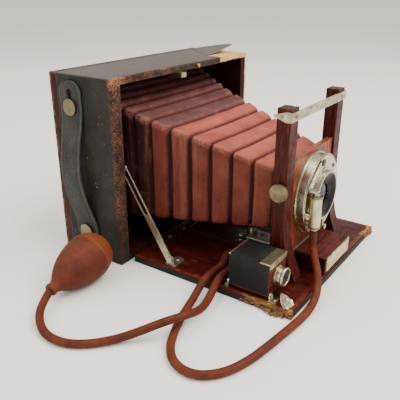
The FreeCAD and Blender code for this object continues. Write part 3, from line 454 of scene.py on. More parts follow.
def face_extra(m, col):
    x, y, z = m.xyz()
    dz = m.math("SUBTRACT", z, 0.075)
    r = m.math("SQRT", m.math("ADD", m.mul(x, x), m.mul(dz, dz)))
    s = m.n("TexNoise", noise_dimensions="1D")
    m.put(s.inputs["W"], r)
    s.inputs["Scale"].default_value = 1500
    s.inputs["Detail"].default_value = 3
    col = m.mix(m.mul(m.step(0.48, 0.64, s.outputs["Fac"]), 0.35), col, srgb(150, 140, 112))
    return m.mix(m.mul(m.step(0.56, 0.72, m.noise(75, 5, 0.7)), 0.45), col, srgb(122, 104, 70))


FACE = metal("shutter_nickel", srgb(228, 222, 200), srgb(184, 176, 150), srgb(96, 82, 58), 0.20, 0.26, face_extra)


def bezel_extra(m, col):
    x, y, z = m.xyz()
    dz = m.math("SUBTRACT", z, 0.075)
    r = m.math("SQRT", m.math("ADD", m.mul(x, x), m.mul(dz, dz)))
    s = m.n("TexNoise", noise_dimensions="1D")
    m.put(s.inputs["W"], r)
    s.inputs["Scale"].default_value = 1200
    col = m.mix(m.mul(m.step(0.45, 0.6, s.outputs["Fac"]), 0.45), col, srgb(62, 66, 70))
    rim = m.step(0.0212, 0.0222, r)
    col = m.mix(m.mul(rim, 0.75), col, srgb(196, 192, 180))
    # painted shade: the inner lip round the lens opening is painted near black
    hole = m.step(0.0120, 0.0112, r)
    return m.mix(hole, col, (0.004, 0.004, 0.004, 1))


BEZEL = metal("bezel_blued", srgb(58, 56, 50), srgb(38, 36, 32), srgb(20, 18, 16), 0.36, 0.18, bezel_extra, amount=0.5)
DARKM = metal("dark_metal", srgb(84, 80, 74), srgb(52, 49, 45), srgb(30, 27, 24), 0.36, 0.25)
def screw_extra(m, col):
    x, y, z = m.xyz()
    return m.mix(m.step(0.16, 0.15, z), col, m.mix(m.noise(300, 3), N_BRIGHT, N_DULL))


SCREWM = metal("case_screw_metal", srgb(204, 164, 88), srgb(160, 120, 56), srgb(84, 58, 26), 0.28, 0.25, screw_extra)
FEET = metal("foot_nickel", srgb(240, 236, 220), srgb(206, 200, 180), srgb(128, 116, 90), 0.34, 0.2, amount=0.25)
BRASS = metal("aged_brass", srgb(204, 164, 88), srgb(160, 120, 56), srgb(84, 58, 26), 0.28, 0.25)
STEEL = metal("spring_steel", srgb(168, 168, 164), srgb(120, 118, 112), srgb(84, 60, 40), 0.28, 0.2)
HINGE = metal("hinge_nickel", srgb(176, 166, 140), srgb(120, 108, 84), srgb(66, 52, 36), 0.34, 0.26)

iv = Mat("aged_ivory", 0.42, Specular_IOR_Level=0.4)
ivx, ivy, ivz = iv.xyz()
ivc = iv.ramp(iv.noise(110, 4, 0.6), (0.3, srgb(166, 154, 106)), (0.55, srgb(194, 184, 134)), (0.8, srgb(208, 200, 156)))
ive = iv.math("MAXIMUM", iv.step(0.0262, 0.0279, iv.math("ABSOLUTE", ivx)), iv.math("MAXIMUM", iv.step(0.0110, 0.0098, ivz), iv.step(0.0222, 0.0234, ivz)))
ivc = iv.mix(iv.mul(ive, iv.step(0.35, 0.6, iv.noise(300, 3, 0.6))), ivc, srgb(120, 92, 52))
ivc = iv.mix(iv.mul(iv.step(0.58, 0.7, iv.noise(420, 5, 0.75)), 0.4), ivc, srgb(132, 116, 78))
IVORY = iv.finish(ivc, None, iv.noise(700, 3), 0.12, 0.0002, 0.0003)


def rubber(name, dark, mid, light, bloom, extra=None, scale=1.0, dusty=0.34):
    m = Mat(name, 0.62, Specular_IOR_Level=0.20, Subsurface_Weight=0.0)
    a = m.noise(70 * scale, 5, 0.62)
    col = m.ramp(a, (0.30, dark), (0.52, mid), (0.76, light))
    fine = m.noise(1400, 3, 0.6)
    col = m.mix(m.mul(m.step(0.52, 0.70, m.noise(320, 5, 0.7)), 0.35), col, dark)
    if extra is not None:
        col = extra(m, col)
    up = m.step(0.1, 1.0, m.nrm()[2])
    col = m.mix(m.mul(up, m.step(0.34, 0.62, m.noise(180, 4, 0.6)), dusty), col, bloom)
    r = m.math("ADD", 0.50, m.mul(m.noise(220, 4), 0.32))
    h = m.math("ADD", m.mul(fine, 0.5), m.noise(300, 3))
    return m.finish(col, r, h, 0.22, 0.0002, 0.0)


RUBBER = rubber("tube_rubber", srgb(66, 24, 9), srgb(86, 34, 13), srgb(102, 43, 18), srgb(114, 62, 32), None, 1.3, 0.14)


def bulb_extra(m, col):
    s = m.attr("along")
    end = m.step(0.728, 0.744, s)
    fresh = m.ramp(m.noise(60, 4, 0.6), (0.3, srgb(98, 42, 12)), (0.6, srgb(118, 54, 17)), (0.8, srgb(132, 64, 24)))
    col = m.mix(m.mul(end, 0.85), col, fresh)
    # painted highlight: a lighter band along the seam
    seam = m.mul(m.step(0.715, 0.728, s), m.step(0.752, 0.740, s))
    return m.mix(m.mul(seam, 0.4), col, srgb(130, 68, 38))


BULB = rubber("bulb_rubber", srgb(64, 25, 10), srgb(84, 35, 16), srgb(98, 44, 22), srgb(114, 64, 40), bulb_extra, 0.6, 0.20)


def bellows_mat():
    m = Mat("bellows_leather", 0.55, Specular_IOR_Level=0.14)
    x, y, z = m.xyz()
    fold = m.attr("fold")
    cornerness = m.attr("corner")
    up = m.step(0.3, 0.9, m.attr("up"))
    big = m.noise(30, 5, 0.6)
    # painted light: the sides take a darker brown ramp and the top panels a lighter salmon ramp, as light falls from
    # above; every later mix by up likewise gives a lit colour for the top and a shaded one for the sides
    side = m.ramp(big, (0.30, srgb(74, 30, 24)), (0.50, srgb(98, 45, 35)), (0.74, srgb(118, 63, 48)))
    low = m.step(0.075, 0.040, m.math("ADD", z, m.mul(m.math("SUBTRACT", m.noise(60, 3), 0.5), 0.02)))
    side = m.mix(m.mul(low, 0.45), side, srgb(98, 34, 22))
    # painted shade: the sides darken towards the rear and turn near black just inside the case mouth, where they lie in
    # shadow
    rear = m.step(-0.100, -0.040, y)
    side = m.mix(m.mul(rear, 0.35), side, srgb(84, 24, 22))
    side = m.mix(m.mul(m.step(-0.0500, -0.0440, y), 0.88), side, srgb(22, 3, 3))
    lit_top_colour = m.ramp(big, (0.30, srgb(132, 60, 48)), (0.50, srgb(154, 76, 60)), (0.74, srgb(170, 92, 74)))
    # painted shade: the rear top folds near the case are coloured grey-purple, as if in the case's shadow
    wav = m.mul(m.math("SUBTRACT", m.noise(40, 4), 0.5), 0.018)
    rear_top_shade = m.step(-0.078, -0.066, m.math("ADD", y, wav))
    lit_top_colour = m.mix(m.mul(rear_top_shade, 0.92), lit_top_colour, m.ramp(m.noise(80, 4), (0.3, srgb(66, 44, 44)), (0.55, srgb(86, 60, 58)), (0.8, srgb(104, 72, 66))))
    # painted shade: the top is darkened further at the case mouth
    lit_top_colour = m.mix(m.mul(m.step(-0.020, 0.005, y), 0.6), lit_top_colour, srgb(66, 36, 36))
    # painted light: lighter top panels, darker sides
    col = m.mix(up, side, lit_top_colour)
    # painted shade: soft darker bands where the top panels dip towards the grooves
    soft = m.step(0.0, 0.5, fold)
    col = m.mix(m.mul(soft, 0.55), col, m.mix(up, srgb(56, 12, 9), srgb(104, 42, 36)))
    # painted shade: the grooves between the pleats turn near black
    col = m.mix(m.mul(m.step(0.40, 0.85, fold), 0.94), col, m.mix(up, srgb(30, 3, 3), srgb(66, 20, 18)))
    ridge = m.mul(m.step(0.12, 0.24, fold), m.step(0.40, 0.26, fold), m.step(0.44, 0.64, m.noise(300, 4, 0.65)))
    col = m.mix(m.mul(ridge, 0.35), col, m.mix(up, srgb(124, 64, 50), srgb(176, 104, 86)))
    cr = m.mul(m.step(0.55, 1.0, cornerness), m.step(0.9, 0.2, fold), m.step(0.36, 0.60, m.noise(300, 5, 0.7)), m.step(0.055, 0.09, z))
    col = m.mix(m.mul(cr, 0.42), col, srgb(158, 102, 84))
    # stains, rubbed spots and dusty patches
    spots = m.mul(m.step(0.66, 0.73, m.noise(150, 3, 0.6)), 0.6)
    col = m.mix(spots, col, m.mix(up, srgb(52, 14, 10), srgb(120, 52, 42)))
    wornp = m.mul(m.step(0.56, 0.72, m.noise(95, 6, 0.75, 0.5)), 0.34)
    col = m.mix(wornp, col, m.mix(up, srgb(118, 72, 54), srgb(176, 108, 88)))
    streak = m.noise(120, 4, 0.6, 0.4, m.scaled((1, 1, 0.10)))
    col = m.mix(m.mul(m.step(0.50, 0.70, streak), m.math("SUBTRACT", 1.0, up), 0.35), col, srgb(132, 84, 64))
    cells = m.voronoi(1300)
    r = m.math("ADD", 0.48, m.mul(m.noise(140, 4), 0.26))
    h = m.math("ADD", m.step(0.0, 0.2, cells), m.mul(m.noise(90, 5, 0.65), 2.6))
    return m.finish(col, r, h, 0.38, 0.0003, 0.0)


BELLOWS = bellows_mat()

# painted shade: the glass is opaque and near black, standing in for the dark inside of the camera seen through it
gl = Mat("lens_glass", 0.12, Transmission_Weight=0.0, IOR=1.45, Specular_IOR_Level=0.12)
glc = gl.mix(gl.step(0.5, 0.7, gl.noise(200, 3)), (0.060, 0.064, 0.070, 1), (0.040, 0.044, 0.052, 1))
GLASS = gl.finish(glc, gl.math("ADD", 0.015, gl.mul(gl.noise(300, 4), 0.05)), None, bevel=0.0)
gg = Mat("ground_glass", 0.55, Transmission_Weight=0.55, IOR=1.5)
ggc = gg.mix(gg.noise(900, 3), srgb(206, 214, 210), srgb(228, 232, 228))
GROUND = gg.finish(ggc, None, gg.noise(4000, 2), 0.3, 0.0001, 0.0003)
mi = Mat("silvered_mirror", 0.06, 1.0)
MIRROR = mi.finish(mi.mix(mi.mul(mi.step(0.6, 0.72, mi.noise(240, 4, 0.7)), 0.6), srgb(206, 208, 206), srgb(84, 74, 60)), mi.math("ADD", 0.05, mi.mul(mi.noise(200, 4), 0.15)), None, bevel=0.0)
bare = Mat("bare_splinters", 0.75)
BARE = bare.finish(bare.ramp(bare.noise(700, 4, 0.65, 0, bare.scaled((1, 0.2, 1))), (0.3, srgb(70, 40, 20)), (0.55, srgb(120, 82, 42)), (0.8, srgb(166, 128, 76))), None, bare.noise(900, 3), 0.4, 0.0003, 0.0)

LEAFM = metal("blackened_leaf", (0.020, 0.020, 0.020, 1), (0.012, 0.012, 0.012, 1), (0.006, 0.006, 0.006, 1), 0.5, 0.2)

PAINT = {
    "air_cylinder": CYLM, "back_frame": BACKW, "base_board": CASEW, "bed_board": BED, "bed_catch": HINGE, "bed_hinge": HINGE,
    "bellows_front_frame": BLACKW, "bellows_partition": BLACKW, "case_screws": SCREWM, "diaphragm_pointer": NICKEL,
    "finder_bars": BRACE, "finder_body": FINWOOD, "finder_brackets": NICKEL, "finder_glasses": GLASS, "finder_leather": UNDER,
    "finder_lens_tube": FACE, "finder_lid": UNDER, "finder_mirror": MIRROR, "finder_pivot_pin": NICKEL, "focusing_frame": MAHOG,
    "focusing_glass": GROUND, "hose_nozzle": NICKEL, "lens_bezel": BEZEL, "lens_board": PANEL, "lens_elements": GLASS,
    "lock_lever": NICKEL, "name_plate": IVORY, "piston": NICKEL, "rear_barrel": DARKM, "release_lever": NICKEL, "release_pin": BRASS,
    "rise_knob": KNOB, "shutter_case": FACE, "shutter_face": FACE, "shutter_leaf_left": LEAFM, "shutter_leaf_right": LEAFM,
    "shutter_pins": DARKM, "side_boards": CASEW, "slide_plates": FEET, "sliding_block": BLOCK, "spring_studs": BRASS,
    "standard_screws": STEEL, "strap_studs": CYLM, "strut_feet": FEET, "strut_pins": NICKEL, "struts": BRACE, "top_board": CASEW,
    "top_brace": BRACE, "track_rails": RAILS, "tripod_bush": BRASS, "underside_leather": UNDER, "upright_left": MAHOG, "upright_right": MAHOG,
}
for name, mat in PAINT.items():
    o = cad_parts[name]
    o.data.materials.clear()
    o.data.materials.append(mat)
    for p in o.data.polygons:
        p.material_index = 0
# finder skin is plain black grain, without the bed's worn edges
FINSKIN = leather("finder_leather", srgb(14, 14, 14), srgb(24, 25, 24), srgb(44, 45, 44), 0.42, 700, 0.9,
                  lambda m, c: m.mix(m.mul(m.edges(0.0009, 0.03, 0.3), m.step(0.46, 0.6, m.noise(600, 4, 0.7)), 0.7), c, srgb(120, 112, 100)), 0.0004)
for name in ("finder_leather", "finder_lid"):
    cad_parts[name].data.materials[0] = FINSKIN


# ------------------------------------------------------------------ mesh helpers
def add(name, verts, faces, mat, body=None, smooth_faces=True):
    me = bpy.data.meshes.new(name)
    me.from_pydata([tuple(v) for v in verts], [], faces)
    me.update()
    if smooth_faces:
        for p in me.polygons:
            p.use_smooth = True
    o = bpy.data.objects.new(name, me)
    scene.collection.objects.link(o)
    me.materials.append(mat)
    if body:
        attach(o, body)
    return o


def float_attr(o, name, values):
    a = o.data.attributes.new(name, "FLOAT", "POINT")
    a.data.foreach_set("value", [float(v) for v in values])


def apply_mods(o):
    dg = bpy.context.evaluated_depsgraph_get()
    me = bpy.data.meshes.new_from_object(o.evaluated_get(dg), preserve_all_data_layers=True, depsgraph=dg)
    o.modifiers.clear()
    old = o.data
    o.data = me
    bpy.data.meshes.remove(old)
    return o


def outward(o):
    bm = bmesh.new()
    bm.from_mesh(o.data)
    bmesh.ops.recalc_face_normals(bm, faces=bm.faces)
    bm.to_mesh(o.data)
    bm.free()
    return o


def solidify(o, t, offset=-1.0):
    s = o.modifiers.new("thick", "SOLIDIFY")
    s.thickness, s.offset = t, offset
    s.use_even_offset = False
    return apply_mods(o)


def revolve(name, profile, origin, axis, mat, body, n=48, closed=False, attr=None):
    """profile: (distance along axis, radius)."""
    ax = Vector(axis).normalized()
    side = ax.orthogonal().normalized()
    up = ax.cross(side)
    verts, faces, al = [], [], []
    total = profile[-1][0] - profile[0][0]
    for s, r in profile:
        for k in range(n):
            a = 2 * math.pi * k / n
            verts.append(Vector(origin) + ax * s + (side * math.cos(a) + up * math.sin(a)) * r)
            al.append((s - profile[0][0]) / total if total else 0)
    rows = len(profile)
    for i in range(rows if closed else rows - 1):
        j = (i + 1) % rows
        for k in range(n):
            l = (k + 1) % n
            faces.append((i * n + k, i * n + l, j * n + l, j * n + k))
    if not closed:
        for row, flip in ((0, True), (rows - 1, False)):
            c = len(verts)
            verts.append(Vector(origin) + ax * profile[row][0])
            al.append(0.0 if row == 0 else 1.0)
            for k in range(n):
                l = (k + 1) % n
                faces.append((row * n + l, row * n + k, c) if flip else (row * n + k, row * n + l, c))
    o = add(name, verts, faces, mat, None, True)
    if attr:
        float_attr(o, attr, al)
    outward(o)
    if body:
        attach(o, body)
    return o


def knurl(name, origin, axis, r, depth, length, teeth, mat, body, inner=None):
    """A milled rim: a ring whose outside is cut into rounded ribs."""
    ax = Vector(axis).normalized()
    side = ax.orthogonal().normalized()
    up = ax.cross(side)
    n = teeth * 4
    inner = inner or r * 0.8
    verts, faces = [], []
    prof = [(0, inner, 0), (0, r - depth * 1.6, 0), (length * 0.12, r, 1), (length * 0.88, r, 1), (length, r - depth * 1.6, 0), (length, inner, 0)]
    for s, rr, ribs in prof:
        for k in range(n):
            a = 2 * math.pi * k / n
            cut = depth * (0.5 - 0.5 * math.cos(teeth * a)) * ribs
            verts.append(Vector(origin) + ax * s + (side * math.cos(a) + up * math.sin(a)) * (rr - cut))
    rows = len(prof)
    for i in range(rows):
        j = (i + 1) % rows
        for k in range(n):
            l = (k + 1) % n
            faces.append((i * n + k, i * n + l, j * n + l, j * n + k))
    o = add(name, verts, faces, mat, None, False)
    outward(o)
    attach(o, body)
    return o


# ------------------------------------------------------------------ release tube and bulb
ROUTE = [
    (-29.6, -202.4, 50.0), (-29.6, -202.4, 36.0), (-34.4, -206.6, 27.6), (-42.6, -213.2, 22.4), (-53.0, -219.8, 17.0), (-65.0, -225.2, 11.4),
    (-80.0, -228.0, 6.4), (-98.0, -227.4, 3.9), (-122.0, -224.6, 3.6), (-148.0, -221.4, 3.6), (-173.0, -217.4, 3.6),
    (-195.0, -208.8, 3.6), (-208.2, -193.0, 3.6), (-206.0, -174.0, 3.6), (-193.6, -160.4, 3.6), (-177.0, -152.0, 3.6),
    (-159.0, -144.6, 3.6), (-142.0, -139.8, 3.6), (-126.0, -136.8, 6.7), (-110.0, -134.4, 13.2), (-94.0, -133.2, 13.2), (-79.0, -132.2, 10.8),
    (-66.4, -128.4, 10.4), (-55.6, -122.8, 10.4), (-44.8, -124.6, 10.4), (-39.4, -133.4, 10.4), (-43.6, -142.6, 10.4), (-55.0, -145.4, 10.4),
    (-70.0, -142.0, 10.4), (-86.0, -141.6, 11.4), (-101.0, -144.6, 14.0), (-115.0, -148.6, 11.8), (-130.0, -152.8, 8.6), (-147.0, -156.4, 9.9),
    (-164.0, -155.4, 14.7), (-181.0, -147.0, 15.1), (-195.4, -133.6, 8.9), (-210.0, -120.6, 4.3), (-226.0, -106.6, 3.7),
    (-236.4, -90.6, 3.6), (-238.0, -71.0, 3.8), (-231.2, -54.6, 5.8), (-218.4, -41.6, 9.2), (-203.2, -35.0, 12.3),
]
cd = bpy.data.curves.new("route", "CURVE")
cd.dimensions = "3D"
cd.resolution_u = 10
sp = cd.splines.new("NURBS")
sp.points.add(len(ROUTE) - 1)
for p, q in zip(sp.points, ROUTE):
    p.co = (q[0] * MM, q[1] * MM, q[2] * MM, 1.0)
sp.order_u = 3
sp.use_endpoint_u = True
co = bpy.data.objects.new("route", cd)
scene.collection.objects.link(co)
bpy.context.view_layer.update()
line_mesh = bpy.data.meshes.new_from_object(co)
LINE = [v.co.copy() for v in line_mesh.vertices]
bpy.data.objects.remove(co)


def sweep(name, pts, radius, mat, n=16, wobble=0.0):
    t0 = (pts[1] - pts[0]).normalized()
    side = t0.orthogonal().normalized()
    verts, faces = [], []
    for i, p in enumerate(pts):
        t = (pts[min(i + 1, len(pts) - 1)] - pts[max(i - 1, 0)]).normalized()
        side = (side - t * side.dot(t)).normalized()
        up = t.cross(side)
        for k in range(n):
            a = 2 * math.pi * k / n
            d = side * math.cos(a) + up * math.sin(a)
            r = radius * (1 + wobble * noise.noise(p * 90.0 + d * 0.6))
            verts.append(p + d * r)
    for i in range(len(pts) - 1):
        for k in range(n):
            l = (k + 1) % n
            faces.append((i * n + k, i * n + l, (i + 1) * n + l, (i + 1) * n + k))
    for row, flip in ((0, True), (len(pts) - 1, False)):
        c = len(verts)
        verts.append(pts[row])
        for k in range(n):
            l = (k + 1) % n
            faces.append((row * n + l, row * n + k, c) if flip else (row * n + k, row * n + l, c))
    return outward(add(name, verts, faces, mat))


tube = sweep("release_tube", LINE, 3.5 * MM, RUBBER, 18, 0.022)
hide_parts("rubber_tube")
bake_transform(tube)

NECK, FAR = Vector((-201.8, -34.4, 12.6)) * MM, Vector((-147.5, -31.2, 23.6)) * MM
AX = (FAR - NECK).normalized()


def catmull(pts, per):
    out = []
    for i in range(len(pts) - 1):
        p0 = pts[max(i - 1, 0)]
        p1, p2 = pts[i], pts[i + 1]
        p3 = pts[min(i + 2, len(pts) - 1)]
        for k in range(per):
            t = k / per
            out.append(tuple(0.5 * ((2 * b) + (-a + c) * t + (2 * a - 5 * b + 4 * c - d) * t * t + (-a + 3 * b - 3 * c + d) * t ** 3) for a, b, c, d in zip(p0, p1, p2, p3)))
    out.append(tuple(pts[-1]))
    return out


prof = catmull([(0.0, 5.2), (5.0, 5.6), (9.0, 7.4), (16.0, 12.6), (26.0, 17.6), (38.0, 21.2), (50.0, 22.2), (56.0, 21.5), (62.0, 19.5), (66.6, 16.4), (70.0, 12.2), (72.0, 7.0), (72.8, 0.35)], 7)
bulb_prof = []
for s, r in prof:
    lip = 0.85 * math.exp(-((s - 1.8) / 1.5) ** 2) + 0.14 * math.exp(-((s - 53.6) / 0.55) ** 2)
    bulb_prof.append((s * MM, max(r + lip, 0.3) * MM))
extra_rows = [(52.8 + 0.2 * k) for k in range(9)]


def prof_at(s):
    for (a, ra), (b, rb) in zip(prof, prof[1:]):
        if a <= s <= b:
            return ra + (rb - ra) * (s - a) / max(b - a, 1e-9)
    return prof[-1][1]


bulb_prof += [(s * MM, (prof_at(s) + 0.15 * math.exp(-((s - 53.6) / 0.40) ** 2)) * MM) for s in extra_rows]
bulb_prof = sorted(bulb_prof)
clean = [bulb_prof[0]]
for q in bulb_prof[1:]:
    if q[0] - clean[-1][0] > 1e-5:
        clean.append(q)
bulb = revolve("release_bulb", [(s, r) for s, r in clean], NECK, AX, BULB, None, 56, attr="along")
low = min(v.co.z for v in bulb.data.vertices)
for v in bulb.data.vertices:
    d = 0.35 * MM * noise.noise(v.co * 55.0)
    v.co += (v.co - (NECK + AX * (v.co - NECK).dot(AX))).normalized() * d if (v.co - (NECK + AX * (v.co - NECK).dot(AX))).length > 1e-4 else Vector((0, 0, 0))
low = min(v.co.z for v in bulb.data.vertices)
if low < 0.00004:
    for v in bulb.data.vertices:
        v.co.z += (0.00004 - low) * smooth(0.012, 0.030, (v.co - NECK).dot(AX))
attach(bulb, "case")
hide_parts("rubber_bulb")


# ------------------------------------------------------------------ bellows
def hw_at(y):
    return min(80.0 + (y + 40.0) * 0.255, 95.5)


def hi_at(y):
    o = y + 40.0
    return min(143.3 + o * 0.28 + max(0.0, o) * 0.13, 168.0)


def lo_at(y):
    return 41.4 - (y + 40.0) * 0.065


RIDGES = [20.0, 9.0, -2.0, -13.0, -24.0, -35.5] + [-52.3 - 19.68 * i for i in range(7)]
DEPTH = 2.4
stations = []       # (y, inset share, dark share: the weight of the painted groove shade)
for i, yr in enumerate(RIDGES[:-1]):
    yn = RIDGES[i + 1]
    span = yr - yn
    k = min(1.0, span / 19.0)
    w = (8.2 - 0.42 * max(0, i - 5)) * (0.7 + 0.3 * k)     # width of the groove behind the next ridge
    dep = (1.12 - 0.07 * max(0, i - 5)) * (0.8 + 0.2 * k)
    flat = span - w
    stations += [(yr, 0.0, 0.25), (yr - 0.5, 0.02, 0.0), (yr - flat * 0.22, 0.0, 0.0), (yr - flat * 0.5, 0.01, 0.0), (yr - flat * 0.78, 0.05, 0.04),
                 (yr - flat, 0.20 * dep, 0.22), (yn + w * 0.72, 0.70 * dep, 0.75), (yn + w * 0.50, 0.96 * dep, 1.0), (yn + w * 0.34, 1.0 * dep, 1.0), (yn + w * 0.10, 0.28 * dep, 0.7)]
stations.append((RIDGES[-1], 0.0, 0.2))

bverts, bfaces, bfold, bcorner, bup = [], [], [], [], []
NS = 22


def ring_pts(y, f):
    inset = f * DEPTH
    a = hw_at(y) - inset
    t = hi_at(y) - inset
    b = lo_at(y) + inset * 1.25 - 0.8
    ch = 2.0 + 3.4 * f
    pts = []
    corners = [((-a, b), (0, 1)), ((-a, t), (1, 0)), ((a, t), (0, -1)), ((a, b), (-1, 0))]
    sides = [((-a, b + ch), (-a, t - ch), 0), ((-a + ch, t), (a - ch, t), 1), ((a, t - ch), (a, b + ch), 0), ((a - ch, b), (-a + ch, b), -1)]
    for p, q, u in sides:
        for k in range(NS + 1):
            s = k / NS
            x = p[0] + (q[0] - p[0]) * s
            z = p[1] + (q[1] - p[1]) * s
            bow = math.sin(math.pi * s)
            if u == 1:
                z -= bow * (0.8 + 0.5 * f)
            elif u == -1:
                z -= bow * 0.6
            else:
                x += (-0.7 if x < 0 else 0.7) * bow * (1 - 0.4 * f) * -1.0
            w = 0.42 * noise.noise(Vector((x * 0.045, y * 0.05, z * 0.045))) + 0.22 * noise.noise(Vector((x * 0.16, y * 0.2, z * 0.16)))
            edge = max(0.0, 1.0 - min(s, 1 - s) * NS / 2.2)
            n = Vector((0, 0, 1.0)) if u == 1 else Vector((0, 0, -1.0)) if u == -1 else Vector((-1.0 if p[0] < 0 else 1.0, 0, 0))
            wob = 0.9 * edge * noise.noise(Vector((y * 0.5, u * 3.1, p[0] * 0.1)))
            pts.append((x + n.x * (w + wob * 0.4), y, z + n.z * (w + wob * 0.4), edge, max(u, 0)))
    return pts


for y, f, dk in stations:
    for x, yy, z, e, u in ring_pts(y, f):
        bverts.append((x * MM, yy * MM, z * MM))
        bfold.append(dk)
        bcorner.append(e)
        bup.append(u)
cnt = 4 * (NS + 1)
for i in range(len(stations) - 1):
    for k in range(cnt):
        l = (k + 1) % cnt
        bfaces.append((i * cnt + k, i * cnt + l, (i + 1) * cnt + l, (i + 1) * cnt + k))
bellows = add("bellows_folds", bverts, bfaces, BELLOWS)
float_attr(bellows, "fold", bfold)
float_attr(bellows, "corner", bcorner)
float_attr(bellows, "up", bup)
outward(bellows)
solidify(bellows, 0.8 * MM, -1.0)
# crisp folds, soft panels
bm = bmesh.new()
bm.from_mesh(bellows.data)
for e in bm.edges:
    if len(e.link_faces) == 2 and e.calc_face_angle(0) > math.radians(50):
        e.smooth = False
bm.to_mesh(bellows.data)
bm.free()
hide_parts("bellows")
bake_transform(bellows)


# ------------------------------------------------------------------ leather covering of the case, torn at the top right corner
X, Y0, Y1, Z0, Z1, RC, RF = 117.0, -40.0, 30.0, 0.3, 184.0, 2.3, 1.7
MX, MZ = 105.0, 177.6
contour = []        # x, z, outward nx, nz
STEP = 1.7


def run(ax, az, bx, bz, nx, nzz):
    n = max(1, int(round(math.hypot(bx - ax, bz - az) / STEP)))
    for k in range(n):
        s = k / n
        contour.append((ax + (bx - ax) * s, az + (bz - az) * s, nx, nzz))


def arc(cx, cz, a0, a1):
    for k in range(4):
        a = math.radians(a0 + (a1 - a0) * k / 4)
        contour.append((cx + RC * math.cos(a), cz + RC * math.sin(a), math.cos(a), math.sin(a)))


run(-X, Z0, -X, Z1 - RC, -1, 0)
arc(-X + RC, Z1 - RC, 180, 90)
run(-X + RC, Z1, X - RC, Z1, 0, 1)
arc(X - RC, Z1 - RC, 90, 0)
run(X, Z1 - RC, X, Z0, 1, 0)
contour.append((X, Z0, 1, 0))
across = []         # kind, value
ny = int(round((Y1 - (Y0 + RF)) / STEP))
for k in range(ny):
    across.append(("out", Y1 - (Y1 - Y0 - RF) * k / ny))
for k in range(5):
    across.append(("edge", math.radians(90 * k / 4)))
for k in range(1, 8):
    across.append(("face", k / 8))
across.append(("face", 1.0))
ROOT_B, ROOT_A = (60.0, -18.0), (101.0, 31.0)


def tear_side(x, y, z):
    """Distance in mm inside the torn-away area, negative outside."""
    w = 1.5 * nz(x, y, z, 0.16) + 0.7 * nz(x, y, z, 0.55)
    if x > 103.5 and y < -38.2 and z < 178.5:
        return min(x - 103.5, (z - 84.0) * 0.6 + 3.0 * nz(x, 3.0, z, 0.5)) + w * 0.4
    if x > 115.5:
        return z - 181.0 + 1.6 * nz(3.0, y, z, 0.35)
    if z > 176.0:
        if y < -38.2 and z < 182.8:
            return x - 59.5 + w
        # right of the root line, and right of its foot at the front edge
        (bx, by), (ax, ay) = ROOT_B, ROOT_A
        L = math.hypot(ax - bx, ay - by)
        d = ((x - bx) * (ay - by) - (y - by) * (ax - bx)) / L
        if y < by:
            d = max(min(d, x - 59.0 - (by - y) * 0.02), x - 60.0) if x > 52 else -5.0
            d = x - 59.8
        return d + w * 0.8
    return -5.0


lv, lf, lt = [], [], []
for (cx, cz, nx, nzz) in contour:
    for kind, val in across:
        if kind == "out":
            x, y, z = cx, val, cz
        elif kind == "edge":
            d = RF * (1 - math.cos(val))
            x, y, z = cx - nx * d, Y0 + RF - RF * math.sin(val), cz - nzz * d
        else:
            ox, oz = cx - nx * RF, cz - nzz * RF
            ix, iz = max(-MX, min(MX, cx)), min(MZ, cz)
            if kind == "face":
                x, y, z = ox + (ix - ox) * val, Y0, oz + (iz - oz) * val
            else:
                s = val / 1.6
                x, y, z = ix, Y0 + val, iz
        w = 0.16 * nz(x, y, z, 0.07) + 0.06 * nz(x, y, z, 0.4)
        if kind == "out":
            x, z = x + nx * w * 0.6, z + nzz * w * 0.6
        elif kind in ("edge", "face"):
            y -= max(0.0, w) * 0.5
        lv.append((x * MM, y * MM, z * MM))
        lt.append(tear_side(x, y, z))
rows, cols = len(contour), len(across)
for i in range(rows - 1):
    for j in range(cols - 1):
        q = (i * cols + j, (i + 1) * cols + j, (i + 1) * cols + j + 1, i * cols + j + 1)
        if sum(lt[k] for k in q) / 4 > 0:
            continue
        lf.append(q)
shell = add("case_leather_shell", lv, lf, LEATHER)
float_attr(shell, "tear", [smooth(-1.8, -0.2, t) for t in lt])
bm = bmesh.new()
bm.from_mesh(shell.data)
bmesh.ops.delete(bm, geom=[v for v in bm.verts if not v.link_faces], context="VERTS")
bmesh.ops.recalc_face_normals(bm, faces=bm.faces)
bm.to_mesh(shell.data)
bm.free()
# recalc may point an open sheet inwards: the top must face up
up = sum(p.normal.z * p.area for p in shell.data.polygons if p.center.z > 0.1835)
if up < 0:
    shell.data.flip_normals()
solidify(shell, 0.72 * MM, -1.0)
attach(shell, "case")
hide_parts("leather_covering")

# the lifted tongue of leather
TIP = Vector((111.0, -21.0, 192.4))
fv, ff, ft = [], [], []
NA, NB = 46, 34
for i in range(NA + 1):
    s = i / NA
    rx = ROOT_A[0] + (ROOT_B[0] - ROOT_A[0]) * s
    ry = ROOT_A[1] + (ROOT_B[1] - ROOT_A[1]) * s
    root = Vector((rx, ry, 184.15 + 0.25 * nz(rx, ry, 0, 0.1)))
    for j in range(NB + 1):
        t = j / NB
        tip = TIP + Vector((0.6 * (s - 0.5), -2.0 * (s - 0.5), -0.5 * (s - 0.5)))
        p = root.lerp(tip, t)
        p.z = root.z + (tip.z - root.z) * t ** (0.95 + 0.65 * s) + 1.1 * math.sin(math.pi * t) * (0.5 - s) + 0.8 * nz(p.x, p.y, 7.0, 0.09) * t
        edge = min(s, 1 - s) * (1 - t) * 50.0
        jag = max(0.0, 1 - edge / 2.0)
        side = -1 if s > 0.5 else 1
        k = (0.9 * nz(t * 40, side * 9, 0, 0.35) + 0.5 * nz(t * 40, side * 5, 3, 1.1)) * jag * (1 - t)
        p.x += 0.6 * k
        p.y += side * 0.9 * k
        fv.append(p * MM)
        ft.append(smooth(1.6, 0.0, edge))
for i in range(NA):
    for j in range(NB):
        a = i * (NB + 1) + j
        ff.append((a, a + 1, a + NB + 2, a + NB + 1))
